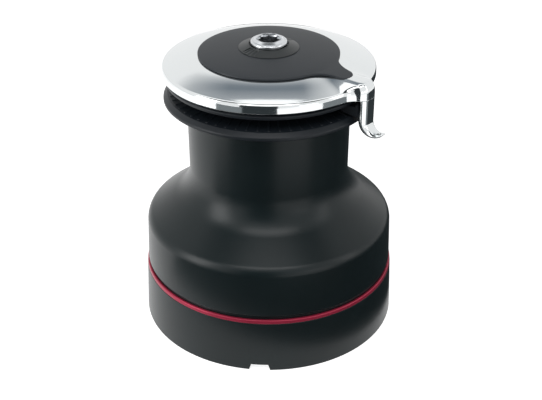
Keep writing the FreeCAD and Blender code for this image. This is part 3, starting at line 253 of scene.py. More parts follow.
def rounded(corners):
    """Points of a closed outline from corners (a, b) or (a, b, round)."""
    points = []
    for index, corner in enumerate(corners):
        here = Vector(corner[:2])
        if len(corner) == 2:
            points.append(tuple(here))
            continue
        back = (Vector(corners[index - 1][:2]) - here).normalized()
        ahead = (Vector(corners[(index + 1) % len(corners)][:2]) - here).normalized()
        half = back.angle(ahead) / 2
        middle = here + (back + ahead).normalized() * (corner[2] / math.sin(half))
        start = here + back * (corner[2] / math.tan(half)) - middle
        sweep = start.angle_signed(here + ahead * (corner[2] / math.tan(half)) - middle)
        steps = max(least_steps, math.ceil(abs(sweep) / arc_step))
        for i in range(steps + 1):
            turn = -sweep * i / steps
            points.append((middle.x + start.x * math.cos(turn) - start.y * math.sin(turn),
                           middle.y + start.x * math.sin(turn) + start.y * math.cos(turn)))
    return points


def at(radius, azimuth, z):
    return Vector((radius * math.cos(azimuth), radius * math.sin(azimuth), z))


def azimuths(steps):
    return [2 * math.pi * i / steps for i in range(steps)]


# Meshes

# Angle between two faces, in degrees, from which the edge between them shows sharp
sharp_from = 35.0


def make_object(name, verts, faces, sharp=sharp_from):
    mesh = bpy.data.meshes.new(name)
    mesh.from_pydata([tuple(v) for v in verts], [], faces)
    mesh.validate()
    mesh.shade_smooth()
    mesh.set_sharp_from_angle(angle=math.radians(sharp))
    piece = bpy.data.objects.new(name, mesh)
    bpy.context.scene.collection.objects.link(piece)
    return piece


def columns_object(name, columns, sharp=sharp_from):
    """A closed ring-like skin: every column is a closed loop of as many points, one column per azimuth."""
    verts = [point for column in columns for point in column]
    piece = make_object(name, verts, skin_faces(len(columns), len(columns[0])), sharp)
    face_outwards(piece.data)
    return piece


def skin_faces(total, rows, open_columns=(), open_rows=()):
    """Faces between neighbouring columns of a closed skin, but for the open rows of the open columns."""
    faces = []
    for c in range(total):
        following = (c + 1) % total
        for r in range(rows):
            if c in open_columns and r in open_rows:
                continue
            up = (r + 1) % rows
            faces.append((c * rows + r, c * rows + up, following * rows + up, following * rows + r))
    return faces


def face_outwards(mesh):
    """Turns all faces over if the closed skin encloses a negative volume."""
    volume = 0.0
    for polygon in mesh.polygons:
        first = mesh.vertices[polygon.vertices[0]].co
        for i in range(1, len(polygon.vertices) - 1):
            second = mesh.vertices[polygon.vertices[i]].co
            third = mesh.vertices[polygon.vertices[i + 1]].co
            volume += first.dot(second.cross(third))
    if volume < 0:
        mesh.flip_normals()


def turned(name, corners, steps):
    """A solid of revolution from corners (radius, z) or (radius, z, round)."""
    outline = rounded(corners)
    return columns_object(name, [[at(r, a, z) for r, z in outline] for a in azimuths(steps)])


def place(piece, body, material, node):
    """Gives a finished piece its finish and its body, and hides the node that it stands for."""
    piece.data.materials.append(material)
    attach(piece, body)
    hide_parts(node)


# Finishes

# The slow change of colour over a piece, and the fine grain of its surface
cloud_scale = 14
cloud_detail = 3
grain_detail = 4
grain_strength = 0.25
# The values between which most of a noise lies
noise_low = 0.3
noise_high = 0.7


def finishes():
    return bpy.context.scene.winch_finishes


def new_material(name):
    material = bpy.data.materials.new(name)
    material.use_nodes = True
    nodes = material.node_tree.nodes
    return material, nodes, material.node_tree.links, nodes["Principled BSDF"]


def bump_from(nodes, links, height, depth):
    bump = nodes.new("ShaderNodeBump")
    bump.inputs["Strength"].default_value = grain_strength
    bump.inputs["Distance"].default_value = depth
    links.new(height, bump.inputs["Height"])
    return bump.outputs["Normal"]


def noise(nodes, links, scale, detail):
    """A noise in object space, so that it stays with the piece."""
    space = nodes.new("ShaderNodeTexCoord")
    texture = nodes.new("ShaderNodeTexNoise")
    texture.inputs["Scale"].default_value = scale
    texture.inputs["Detail"].default_value = detail
    links.new(space.outputs["Object"], texture.inputs["Vector"])
    return texture.outputs["Fac"]


def spread(nodes, links, value, low, high):
    """A noise's value spread over low to high."""
    span = nodes.new("ShaderNodeMapRange")
    for end, limit in (("From Min", noise_low), ("From Max", noise_high), ("To Min", low), ("To Max", high)):
        span.inputs[end].default_value = limit
    links.new(value, span.inputs["Value"])
    return span.outputs["Result"]


def varied_colour(nodes, links, value, base, change):
    """The base colour, a little lighter and darker by the value."""
    mix = nodes.new("ShaderNodeMix")
    mix.data_type = "RGBA"
    mix.inputs["A"].default_value = (*[c * (1 - change) for c in base], 1)
    mix.inputs["B"].default_value = (*[min(1, c * (1 + change)) for c in base], 1)
    links.new(value, mix.inputs["Factor"])
    return mix.outputs["Result"]


def grained(name, base, rough, rough_change, grain, depth, metallic=0.0, change=0.12, specular=0.5):
    """A finish with a fine grain: its colour, roughness and surface all vary a little."""
    material, nodes, links, shader = new_material(name)
    cloud = noise(nodes, links, cloud_scale, cloud_detail)
    fine = noise(nodes, links, grain, grain_detail)
    links.new(varied_colour(nodes, links, spread(nodes, links, cloud, 0, 1), base, change),
              shader.inputs["Base Color"])
    links.new(spread(nodes, links, fine, rough - rough_change, rough + rough_change),
              shader.inputs["Roughness"])
    links.new(bump_from(nodes, links, fine, depth), shader.inputs["Normal"])
    shader.inputs["Metallic"].default_value = metallic
    shader.inputs["Specular IOR Level"].default_value = specular
    return material


def anodised_black():
    return grained("anodised_black", finishes().anodised, rough=0.32, rough_change=0.04, grain=2600,
                   depth=3e-5, specular=0.28)


def anodised_red():
    return grained("anodised_red", finishes().red, rough=0.34, rough_change=0.04, grain=2200, depth=2e-5,
                   metallic=0.35)


def polished_dish():
    return grained("polished_dish", finishes().polish, rough=0.08, rough_change=0.015, grain=900, depth=1e-6,
                   metallic=1.0, change=0.01)


def jaw_plastic():
    return grained("jaw_plastic", finishes().jaw, rough=0.42, rough_change=0.06, grain=1800, depth=3e-5,
                   specular=0.3)


def cover_plastic():
    return grained("cover_plastic", finishes().cover, rough=0.5, rough_change=0.05, grain=3200, depth=4e-5,
                   change=0.05, specular=0.42)


def nut_plastic():
    return grained("nut_plastic", finishes().nut, rough=0.4, rough_change=0.05, grain=2400, depth=3e-5)


def stainless():
    return grained("stainless", finishes().steel, rough=0.24, rough_change=0.03, grain=1600, depth=4e-6,
                   metallic=1.0, change=0.03)


def bronze():
    return grained("bronze", finishes().bronze, rough=0.34, rough_change=0.06, grain=900, depth=1e-5,
                   metallic=1.0)


def casting():
    return grained("casting", finishes().casting, rough=0.52, rough_change=0.05, grain=700, depth=6e-5,
                   metallic=1.0)


def gear_steel():
    return grained("gear_steel", finishes().gear, rough=0.36, rough_change=0.06, grain=1100, depth=1e-5,
                   metallic=1.0)


def bearing_plastic():
    return grained("bearing_plastic", finishes().bearing, rough=0.45, rough_change=0.05, grain=1500,
                   depth=2e-5, change=0.05)


# Base

# Steps round the axis over a notch's roof, between two notches, and round the whole band
roof_steps = 12
foot_steps = 60
band_steps = 256


def skirt_column(settings, top, azimuth, foot_z):
    """The skirt's section at an azimuth, with its foot at foot_z."""
    lean = settings.skirt_lean / top
    outer = settings.skirt_foot - settings.skirt_lean
    inner = outer - settings.skirt_wall
    soft = settings.skirt_edge
    outline = rounded([
        (settings.skirt_foot - lean * foot_z, foot_z, soft), (outer, top, soft),
        (inner, top, soft), (inner, foot_z, soft)])
    return [at(r, azimuth, z) for r, z in outline]


def make_skirt():
    """The skirt, notch by notch: first a notch's roof, then the plain stretch up to the next notch."""
    settings = bpy.context.scene.winch_base
    top = edge("base_skirt", 2, True)
    half_roof = settings.notch_width / 2 / settings.skirt_foot
    half_foot = half_roof + settings.notch_slope / settings.skirt_foot
    pitch = 2 * math.pi / settings.notches
    columns = []
    for notch in range(settings.notches):
        middle = settings.notch_first + notch * pitch
        for i in range(roof_steps + 1):
            azimuth = middle - half_roof + 2 * half_roof * i / roof_steps
            columns.append(skirt_column(settings, top, azimuth, settings.notch_height))
        for i in range(foot_steps + 1):
            azimuth = middle + half_foot + (pitch - 2 * half_foot) * i / foot_steps
            columns.append(skirt_column(settings, top, azimuth, 0.0))
    return columns_object("deck_skirt", columns)


def make_band():
    settings = bpy.context.scene.winch_base
    low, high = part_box("trim_ring")
    inner = high.x - settings.band_depth
    return turned("red_band", [
        (high.x, low.z, settings.band_foot_round),
        (high.x - settings.band_lean, high.z, settings.band_top_round),
        (inner, high.z, settings.band_inner_round),
        (inner, low.z, settings.band_inner_round)], band_steps)


class WINCH_OT_base(bpy.types.Operator):
    """Builds the skirt with its drain notches and the red band on it"""
    bl_idname = "winch.base"
    bl_label = "Base skirt and red band"

    def execute(self, context):
        place(make_skirt(), "base", anodised_black(), "base_skirt")
        place(make_band(), "base", anodised_red(), "trim_ring")
        return {"FINISHED"}


# Drum

drum_steps = 288


def make_drum():
    """The drum's outside from foot to top, then its inside from the bore down to the foot."""
    settings = bpy.context.scene.winch_drum
    bottom = edge("drum", 2, False)
    top = edge("drum", 2, True)
    bore = bore_radius("drum")
    slope = math.tan(settings.cone)
    shoulder_z = bottom + settings.shoulder_height
    waist_z = shoulder_z + slope * (settings.shoulder - settings.waist)
    drop = settings.wall / math.cos(settings.cone)
    return turned("drum_shell", [
        (settings.foot, bottom, settings.foot_round),
        (settings.shoulder, shoulder_z, settings.shoulder_round),
        (settings.waist, waist_z, settings.waist_round),
        (settings.waist_top, top, settings.top_round),
        (bore, top, settings.bore_round),
        (bore, top - settings.bore_depth),
        (settings.waist - settings.wall, top - settings.step_depth, settings.step_round),
        (settings.waist - settings.wall, waist_z - drop, settings.inner_round),
        (settings.shoulder - settings.wall, shoulder_z + slope * settings.wall - drop,
         settings.shoulder_round - settings.wall),
        (settings.foot - settings.wall, bottom, settings.foot_round)], drum_steps)


class WINCH_OT_drum(bpy.types.Operator):
    """Builds the drum's shell: foot, shoulder, cone and waist"""
    bl_idname = "winch.drum"
    bl_label = "Drum"

    def execute(self, context):
        place(make_drum(), "drum", anodised_black(), "drum")
        return {"FINISHED"}


# Rope jaws

# How many times wider a rib is at its foot than on top
rib_flank = 1.6
jaw_sharp = 28.0
# Roundings and bevels of the two jaws, from the lower jaw's underside to the recess in the upper jaw's top
seat_round = 0.0030
rim_foot = 0.0010
rim_foot_round = 0.0008
rim_top_round = 0.0025
lip_round = 0.0008
upper_lip_round = 0.0005
upper_lip_fall = 0.0001
top_bevel = 0.0014
top_bevel_round = 0.0010
top_land = 0.0016
top_land_round = 0.0008
recess_round = 0.0015
# Shares of the way over a jaw's face at which its rows lie: two at each end of the ribs, one in their middle
lower_rows = (0.06, 0.075, 0.5, 0.78, 0.80)
upper_rows = (0.18, 0.195, 0.5, 0.88, 0.895)


def ribbed_ring(name, head, face, tail, lift, settings):
    """A turned ring from three parts of an outline; between the ends of its face, ribs stand up by lift."""
    outline = head + face + tail
    ribbed = range(len(head) + 1, len(head) + len(face) - 1)
    half = settings.rib_width / 2 / settings.root
    pitch = 2 * math.pi / settings.ribs
    columns = []
    for rib in range(settings.ribs):
        for offset, share_up in ((-rib_flank * half, 0), (-half, 1), (half, 1), (rib_flank * half, 0),
                                 (pitch / 2, 0)):
            columns.append([at(r, rib * pitch + offset, z + (share_up * lift if row in ribbed else 0.0))
                            for row, (r, z) in enumerate(outline)])
    return columns_object(name, columns, jaw_sharp)


def sloped_face(first, last, shares):
    """Points on the line between two points (radius, z), at shares of the way."""
    return [(first[0] + along * (last[0] - first[0]), first[1] + along * (last[1] - first[1]))
            for along in shares]


def make_lower_jaw():
    settings = bpy.context.scene.winch_jaws
    drum_top = edge("drum", 2, True)
    under = edge("lower_jaw", 2, False)
    bore = bore_radius("lower_jaw")
    rim = settings.lower_rim
    rim_z = drum_top + settings.lower_rim_rise
    lip = (settings.lower_lip, drum_top + settings.lower_lip_rise)
    root = (settings.root, drum_top + settings.lower_root_rise)
    head = rounded([
        (bore, under), (settings.lower_seat, under, seat_round), (rim - rim_foot, rim_z, rim_foot_round),
        (rim, rim_z + rim_foot), (rim, rim_z + settings.lower_rim_wall, rim_top_round), (*lip, lip_round)])
    return ribbed_ring("lower_jaw_ring", head, sloped_face(lip, root, lower_rows), [root, (bore, root[1])],
                       settings.rib_height, settings)


def make_upper_jaw():
    settings = bpy.context.scene.winch_jaws
    low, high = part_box("upper_jaw")
    bore = bore_radius("upper_jaw")
    neck = settings.upper_neck
    rim = settings.upper_rim
    root = (settings.root, low.z + settings.upper_root_rise)
    lip = (rim, low.z + settings.upper_rim_rise)
    recess_z = high.z - settings.recess_depth
    head = [(bore, low.z), (neck, low.z), (neck, root[1] - settings.upper_neck_fall), root]
    tail = rounded([
        (rim - upper_lip_round, lip[1] - upper_lip_fall, upper_lip_round),
        (rim, high.z - top_bevel, top_bevel_round), (rim - top_land, high.z, top_land_round),
        (settings.recess, high.z), (settings.recess - settings.recess_lean, recess_z, recess_round),
        (bore, recess_z)])
    return ribbed_ring("upper_jaw_ring", head, sloped_face(root, lip, upper_rows), tail, -settings.rib_height,
                       settings)


class WINCH_OT_jaws(bpy.types.Operator):
    """Builds the two ribbed rings that grip the rope's tail"""
    bl_idname = "winch.jaws"
    bl_label = "Rope jaws"

    def execute(self, context):
        plastic = jaw_plastic()
        place(make_lower_jaw(), "lower_jaw", plastic, "lower_jaw")
        place(make_upper_jaw(), "drum", plastic, "upper_jaw")
        return {"FINISHED"}


# Stripper arm

# Columns of the cage on each side of the finger's middle that belong to the finger
finger_side = 3
# Share of the finger's half width at which one more point lies, and its share of the crown's drop there
crown_share = 0.55
crown_drop = 0.3
fillet_steps = 4
rim_steps = 34
# Radii of the cage's rows on the level face, between its bore and its edge
level_radii = (0.040, 0.055)
# Shares of the way over the dish's falling face, and how sharply they come to follow the finger's root
face_steps = (0.2, 0.4, 0.6, 0.78, 0.91, 0.985)
root_power = 4.5
# Turns in degrees from the crest down to the upright wall
wall_turns = (8, 36, 62, 90)
# Rows under the plate: at the foot of the rim's inner face, near that face, and further in
rim_heel = 0.0012
rim_insets = (0.002, 0.008)
under_radii = (0.090, 0.080, 0.068)
hub_bevel = 0.0015
hub_bevel_drop = 0.0010
hub_ring = 0.0400
# How far under the dish the finger's first ring lies
root_depth = 0.0030
# Steps round the toe's bend, and the last two close together at its tip
toe_steps = 6
tip_steps = (0.96, 1.0)
narrowing_power = 1.5
arm_levels = 3
never_sharp = 180.0


def arc_points(middle, radius, first, last, steps):
    """Points on an arc in plan, both ends included."""
    turns = [first + (last - first) * i / steps for i in range(steps + 1)]
    return [(middle[0] + radius * math.cos(t), middle[1] + radius * math.sin(t)) for t in turns]


def wall_outline(settings):
    """The dish's outline in plan, all round from the finger's middle, which lies along +X."""
    half = settings.finger_width / 2
    corner = settings.finger_corner
    crown = settings.finger_crown
    outer = settings.finger_inside + settings.finger_thickness
    fillet = settings.root_round
    middle = (math.sqrt((settings.rim + fillet) ** 2 - (half + fillet) ** 2), half + fillet)
    meet = math.atan2(middle[1], middle[0])
    points = [(outer, 0.0), (outer - crown * crown_drop, half * crown_share), (outer - crown, half - corner),
              (outer - crown - corner, half)]
    points += arc_points(middle, fillet, -math.pi / 2, meet - math.pi, fillet_steps)[1:]
    points += arc_points((0, 0), settings.rim, meet, math.pi, rim_steps)[1:]
    return points + [(x, -y) for x, y in reversed(points[1:-1])]


def face_drop(settings, radius):
    """How far the dish's face lies under its level middle at a radius."""
    out = max(0.0, (radius - settings.face) / (settings.crest - settings.face))
    return settings.fall * out ** 2


def wall_rows(settings, low, high):
    """Inset, height and share of the root's lift of each point down the dish's wall."""
    inset = settings.rim - settings.crest
    edge_z = high - settings.fall
    rows = [(inset * (1 - math.sin(turn)), edge_z - settings.wall_bulge * (1 - math.cos(turn)),
             math.cos(turn) ** 2) for turn in map(math.radians, wall_turns)]
    return rows + [(0.0, low + settings.rim_soft, 0.0), (0.0, low, 0.0), (settings.rim_soft, low, 0.0)]


def under_rows(settings, low, high):
    """Radius and height of each point under the dish, from its rim's inner face to its bore."""
    inner = settings.rim - settings.rim_wall
    plate = high - settings.web
    hub_low = high - settings.hub_depth
    rows = [(inner, low), (inner, low + rim_heel)]
    for r in [inner - inset for inset in rim_insets] + list(under_radii):
        rows.append((r, plate - face_drop(settings, r)))
    rows += [(settings.hub + settings.hub_fillet, plate), (settings.hub + hub_bevel, plate - hub_bevel_drop)]
    return rows + [(settings.hub, hub_low), (hub_ring, hub_low), (settings.bore, hub_low)]


def dish_columns(settings, outline, low, high):
    """A column of points of the cage for each point of the outline, and the row at the wall's foot."""
    inner = settings.rim - settings.rim_wall
    reach_out = settings.finger_inside + settings.finger_thickness - settings.rim
    level = (settings.bore, *level_radii, settings.face)
    face = [(settings.face + (settings.crest - settings.face) * step, step ** root_power)
            for step in face_steps]
    wall = wall_rows(settings, low, high)
    under = under_rows(settings, low, high)
    columns = []
    for x, y in outline:
        spot = Vector((x, y))
        inward = -spot.normalized()
        turn = math.atan2(y, x)
        shift = spot.length - settings.rim
        raised = settings.root_lift * shift / reach_out
        fall_share = 1 - settings.tongue * math.sqrt(max(0.0, shift) / reach_out)
        column = [at(r, turn, high) for r in level]
        column += [at(r + shift * follow, turn, high - face_drop(settings, r) * fall_share + raised * follow)
                   for r, follow in face]
        column += [(spot + inward * inset).to_3d() + Vector((0, 0, z + raised * follow))
                   for inset, z, follow in wall]
        column.append(at(inner + settings.rim_soft, turn, low))
        column += [at(r, turn, z) for r, z in under]
        columns.append(column)
    return columns, len(level) + len(face) + len(wall) - 2


def seat_finger(settings, columns, wall_foot, low):
    """Moves the dish's lower edge at the finger in to the finger's inner face."""
    half = settings.finger_width / 2
    corner = settings.finger_corner
    inside = settings.finger_inside
    across = [(inside, 0.0), (inside, half * crown_share), (inside, half - corner), (inside + corner, half)]
    for k in range(-finger_side, finger_side + 1):
        x, y = across[abs(k)]
        y = math.copysign(y, k)
        columns[k][wall_foot + 1] = Vector((inside + settings.finger_thickness / 2, y, low))
        columns[k][wall_foot + 2] = Vector((x, y, low))


def root_ring(total, rows, wall_foot):
    """The points round the finger's root: its outer face, one side, its inner face, the other side."""
    order = range(-finger_side, finger_side + 1)
    ring = [(k % total) * rows + wall_foot for k in order]
    ring.append(finger_side * rows + wall_foot + 1)
    ring += [(k % total) * rows + wall_foot + 2 for k in reversed(order)]
    ring.append((total - finger_side) * rows + wall_foot + 1)
    return ring


def finger_path(settings, low):
    """Place, turn and share of the taper of each ring, down the finger and round its toe."""
    middle = settings.finger_inside + settings.finger_thickness / 2
    bend_z = low - settings.toe_bend
    bend = (settings.toe - middle) / (1 - math.cos(settings.toe_turn))
    path = [(middle, low - root_depth, 0.0, 0.0), (middle, (low + bend_z) / 2, 0.0, 0.0)]
    for taper in (*[i / toe_steps for i in range(toe_steps)], *tip_steps):
        turn = settings.toe_turn * taper
        path.append((middle + bend * (1 - math.cos(turn)), bend_z - bend * math.sin(turn), turn, taper))
    return path


def draw_finger(settings, low, verts, faces, ring):
    """Adds the finger and its toe, ring by ring under the root's ring, and returns the last ring."""
    middle = settings.finger_inside + settings.finger_thickness / 2
    plan = [(verts[i].x - middle, verts[i].y) for i in ring]
    thinning = 1 - settings.toe_tip / settings.finger_thickness
    narrowing = 1 - settings.toe_width / settings.finger_width
    for x, z, turn, taper in finger_path(settings, low):
        start = len(verts)
        for out, y in plan:
            thick = out * (1 - thinning * taper)
            aside = y * (1 - narrowing * taper ** narrowing_power) + settings.toe_aside * taper
            verts.append(Vector((x + thick * math.cos(turn), aside, z + thick * math.sin(turn))))
        fresh = list(range(start, len(verts)))
        for i in range(len(ring)):
            j = (i + 1) % len(ring)
            faces.append((ring[i], ring[j], fresh[j], fresh[i]))
        ring = fresh
    return ring


def tip_faces(ring):
    """Faces that close the toe's tip, across from face to face; the end ones take in the sides' points."""
    wide = 2 * finger_side
    faces = []
    for i in range(wide):
        face = [ring[i], ring[i + 1], ring[2 * wide + 1 - i], ring[2 * wide + 2 - i]]
        if i == 0:
            face.append(ring[-1])
        if i == wide - 1:
            face.insert(2, ring[wide + 1])
        faces.append(tuple(face))
    return faces


def make_arm():
    """A cage of the dish with the finger drawn out of its rim, smoothed by subdivision."""
    settings = bpy.context.scene.winch_arm
    high = edge("stripper_arm", 2, True)
    low = high - settings.height
    columns, wall_foot = dish_columns(settings, wall_outline(settings), low, high)
    seat_finger(settings, columns, wall_foot, low)
    total = len(columns)
    rows = len(columns[0])
    verts = [point for column in columns for point in column]
    faces = skin_faces(total, rows, {k % total for k in range(-finger_side, finger_side)},
                       (wall_foot, wall_foot + 1))
    faces += tip_faces(draw_finger(settings, low, verts, faces, root_ring(total, rows, wall_foot)))
    used = sorted({i for face in faces for i in face})
    fresh_index = {old: new for new, old in enumerate(used)}
    turn_to_place = Matrix.Rotation(settings.finger, 3, "Z")
    piece = make_object("stripper_dish", [turn_to_place @ verts[i] for i in used],
                        [tuple(fresh_index[i] for i in face) for face in faces], never_sharp)
    face_outwards(piece.data)
    smooth = piece.modifiers.new("smooth", "SUBSURF")
    smooth.levels = arm_levels
    smooth.render_levels = arm_levels
    return piece


class WINCH_OT_arm(bpy.types.Operator):
    """Builds the polished dish with its hanging finger"""
    bl_idname = "winch.arm"
    bl_label = "Stripper arm"

    def execute(self, context):
        place(make_arm(), "base", polished_dish(), "stripper_arm")
        return {"FINISHED"}


# Cover and nut

# The cover's turns: fine steps over the pointer and its flanks, in degrees, and coarse ones over the rest
fine_step = 0.25
fine_end = 35
coarse_steps = 80
# How far the cover reaches in under the nut
cover_tuck = 0.0024
cover_bevel = 0.0003
crown_steps = 20
crown_power = 1.3
# Turns in degrees round the cover's upper edge
rim_turns = (22, 45, 68, 90)
heel_lift = 0.0001
heel_inset = 0.0004
cover_sharp = 40.0
# Steps round the axis over a slot of the nut and between the two slots
slot_steps = 16
plain_steps = 60
# Share of a plain step between a slot's edge and the cone beside it
slot_gap = 0.02
# How far a slot's floor lies over the support under it, and the ridges on that floor
slot_lift = 0.0008
slot_wall = 0.0002
ridge_height = 0.0012
nut_wall = 0.0007
nut_foot_round = 0.0002
nut_wall_round = 0.0004
nut_top_round = 0.0012
nut_mouth_round = 0.0003
# The nut's inside, under its cone
nut_sleeve = 0.0250
nut_skirt_inside = 0.0285
nut_skirt_depth = 0.0050
nut_sharp = 30.0


def cover_radius(settings, turn):
    """Radius of the cover's plan at a turn from the pointer: disc, hollow flank, blunt nose."""
    corner = Vector((settings.pointer_reach - settings.nose_round, settings.pointer_half))
    far = settings.disc + settings.flank_round
    along = (corner.length ** 2 + far ** 2 - settings.flank_round ** 2) / (2 * corner.length)
    unit = corner.normalized()
    middle = unit * along + Vector((-unit.y, unit.x)) * math.sqrt(far ** 2 - along ** 2)
    turn = abs(turn)
    if turn >= math.atan2(middle.y, middle.x):
        return settings.disc
    if turn >= math.atan2(corner.y, corner.x):
        return arc_crossing(middle, settings.flank_round, turn, -1)
    nose = settings.nose_round
    bend = (settings.pointer_half ** 2 + nose ** 2) / (2 * nose)
    return arc_crossing(Vector((settings.pointer_reach - bend, 0)), bend, turn, 1)


def arc_crossing(middle, radius, turn, side):
    """Distance from the axis at which a ray crosses a circle, on its near (-1) or far (1) side."""
    reach_along = middle.x * math.cos(turn) + middle.y * math.sin(turn)
    aside = middle.length_squared - reach_along ** 2
    return reach_along + side * math.sqrt(max(0.0, radius ** 2 - aside))


def cover_turns():
    """Turns from the pointer, close together round the nose and flanks."""
    half = [math.radians(fine_step * i) for i in range(round(fine_end / fine_step))]
    half += [math.radians(fine_end + (180 - fine_end) * i / coarse_steps) for i in range(coarse_steps + 1)]
    return half + [-t for t in reversed(half[1:-1])]


def make_cover():
    """Sections round the axis, each from under the nut over the crown to the cover's rim and below it."""
    settings = bpy.context.scene.winch_cover
    arm = bpy.context.scene.winch_arm
    dish = edge("stripper_arm", 2, True)
    inside = settings.nut_foot - cover_tuck
    soft = settings.edge_round
    dip = settings.crown - settings.thickness

    def under(r):
        return dish - face_drop(arm, r) * settings.pointer_rest

    def over(r):
        fall = min(1.0, max(0.0, (r - settings.flat) / (settings.disc - settings.flat)))
        return under(r) + settings.crown - dip * fall ** crown_power

    columns = []
    for turn in cover_turns():
        rim = cover_radius(settings, turn)
        top = over(rim - soft)
        section = [(inside, dish), (inside, over(inside) - cover_bevel), (inside + cover_bevel, over(inside))]
        for i in range(1, crown_steps + 1):
            r = inside + (rim - soft - inside) * i / crown_steps
            section.append((r, over(r)))
        for a in map(math.radians, rim_turns):
            section.append((rim - soft + soft * math.sin(a), top - soft * (1 - math.cos(a))))
        section += [(rim, under(rim) + heel_lift), (rim - heel_inset, under(rim))]
        columns.append([at(r, settings.pointer + turn, z) for r, z in section])
    return columns_object("pointer_cover", columns, cover_sharp)


def nut_turns(settings):
    """Azimuths round the nut, each with whether it lies in one of the two slots."""
    half_slot = math.asin(settings.slot_width / 2 / settings.nut_top)
    span = math.pi - 2 * half_slot
    steps = plain_steps + 2 * slot_gap
    turns = []
    for middle in (settings.slot, settings.slot + math.pi):
        turns += [(middle - half_slot + 2 * half_slot * i / slot_steps, True) for i in range(slot_steps + 1)]
        turns += [(middle + half_slot + span * (i + slot_gap) / steps, False) for i in range(plain_steps + 1)]
    return turns


def make_nut():
    """A low cone round the socket; in the slots it is cut down to a floor with low ridges."""
    settings = bpy.context.scene.winch_cover
    low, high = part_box("cover_nut")
    foot = edge("stripper_arm", 2, True) + settings.crown
    floor = edge("arm_support", 2, True) + slot_lift
    slope = (high.z - foot - nut_wall) / (settings.nut_foot - settings.nut_top)
    slot_end = settings.nut_top + settings.slot_end
    outline = rounded([
        (settings.nut_foot, foot, nut_foot_round), (settings.nut_foot, foot + nut_wall, nut_wall_round),
        (slot_end + slot_wall, high.z - slope * (settings.slot_end + slot_wall)),
        (slot_end, high.z - slope * settings.slot_end),
        (settings.nut_top, high.z, nut_top_round), (settings.nut_bore, high.z, nut_mouth_round)])
    inside = [(settings.nut_bore, low.z), (nut_sleeve, low.z), (nut_sleeve, foot - nut_skirt_depth),
              (nut_skirt_inside, foot - nut_skirt_depth), (nut_skirt_inside, foot)]
    columns = []
    for index, (turn, cut) in enumerate(nut_turns(settings)):
        cut_z = floor + (ridge_height if index % 4 < 2 else 0.0)
        column = [at(r, turn, z) for r, z in inside]
        for r, z in outline:
            in_slot = cut and r > slot_end + slot_wall / 2
            column.append(at(r, turn, min(z, cut_z) if in_slot else z))
        columns.append(column)
    return columns_object("slotted_nut", columns, nut_sharp)


class WINCH_OT_cover(bpy.types.Operator):
    """Builds the cover with its pointer and the slotted nut that holds it"""
    bl_idname = "winch.cover"
    bl_label = "Cover and nut"

    def execute(self, context):
        place(make_cover(), "base", cover_plastic(), "top_cover")
        place(make_nut(), "base", nut_plastic(), "cover_nut")
        return {"FINISHED"}


# Stage

sensor_width = 36.0
floor_sink = 0.0002
floor_colour = (0.8, 0.8, 0.8)
floor_roughness = 0.9
# Each lamp's name, place, height of the point on the axis that it faces, width, height and power
lamps = (
    ("left_box", (-1.15, -0.55, 0.55), 0.20, 0.50, 0.90, 6.0),
    ("front_box", (0.0, -0.75, 1.25), 0.25, 1.10, 0.35, 4.5),
    ("top_box", (0.0, 0.0, 1.70), 0.20, 0.90, 0.50, 2.5),
    ("right_box", (1.25, -0.40, 0.60), 0.20, 0.30, 0.80, 1.2),
    ("low_right", (0.85, -1.05, 0.30), 0.25, 0.45, 0.22, 0.35),
)
card_lift = 0.001
card_steps = 32
# How far behind the axis each row of the canopy lies, and how dark it is there
canopy_rows = ((0.70, 0.58), (0.85, 0.66), (1.0, 0.72), (1.15, 0.80), (1.35, 0.77), (1.55, 0.62),
               (1.76, 0.45), (2.1, 0.0))
# How far to the side each of its columns lies, and its share of that darkness
canopy_columns = ((-1.3, 0.0), (-0.85, 0.6), (-0.35, 1.0), (0.30, 1.0), (0.42, 0.65), (0.65, 0.25),
                  (1.0, 0.0))
# How much narrower its last row is, and how much less dark each next colour channel
canopy_narrowing = 0.35
canopy_tint = 0.04
overhead_sides = (-1.3, -0.8, 0.5, 1.1)
forward_ends = (0.0, -0.45, -0.9)
white = (1.0, 1.0, 1.0)


def area_light(name, location, aim, width, height, power):
    """A soft box that faces the drum's axis at the height aim."""
    data = bpy.data.lights.new(name, "AREA")
    data.shape = "RECTANGLE"
    data.size = width
    data.size_y = height
    data.energy = power
    lamp = bpy.data.objects.new(name, data)
    lamp.location = location
    lamp.rotation_euler = (Vector((0, 0, aim)) - Vector(location)).to_track_quat("-Z", "Y").to_euler()
    bpy.context.scene.collection.objects.link(lamp)


def ray_test(nodes, links, *rays):
    """1 where the light path is one of the named kinds of ray, and 0 for all others."""
    path = nodes.new("ShaderNodeLightPath")
    seen = path.outputs[rays[0]]
    for ray in rays[1:]:
        either = nodes.new("ShaderNodeMath")
        either.operation = "MAXIMUM"
        links.new(seen, either.inputs[0])
        links.new(path.outputs[ray], either.inputs[1])
        seen = either.outputs[0]
    return seen


def make_world(settings):
    """Even light from all sides, which the camera, a mirror or glass sees as plain white."""
    world = bpy.data.worlds.new("studio")
    world.use_nodes = True
    nodes = world.node_tree.nodes
    links = world.node_tree.links
    lit = nodes["Background"]
    seen = nodes.new("ShaderNodeBackground")
    for shader, strength in ((lit, settings.ambient), (seen, 1.0)):
        shader.inputs["Color"].default_value = (*white, 1)
        shader.inputs["Strength"].default_value = strength
    mix = nodes.new("ShaderNodeMixShader")
    links.new(ray_test(nodes, links, "Is Camera Ray", "Is Glossy Ray", "Is Transmission Ray"),
              mix.inputs["Fac"])
    links.new(lit.outputs[0], mix.inputs[1])
    links.new(seen.outputs[0], mix.inputs[2])
    links.new(mix.outputs[0], nodes["World Output"].inputs["Surface"])
    bpy.context.scene.world = world


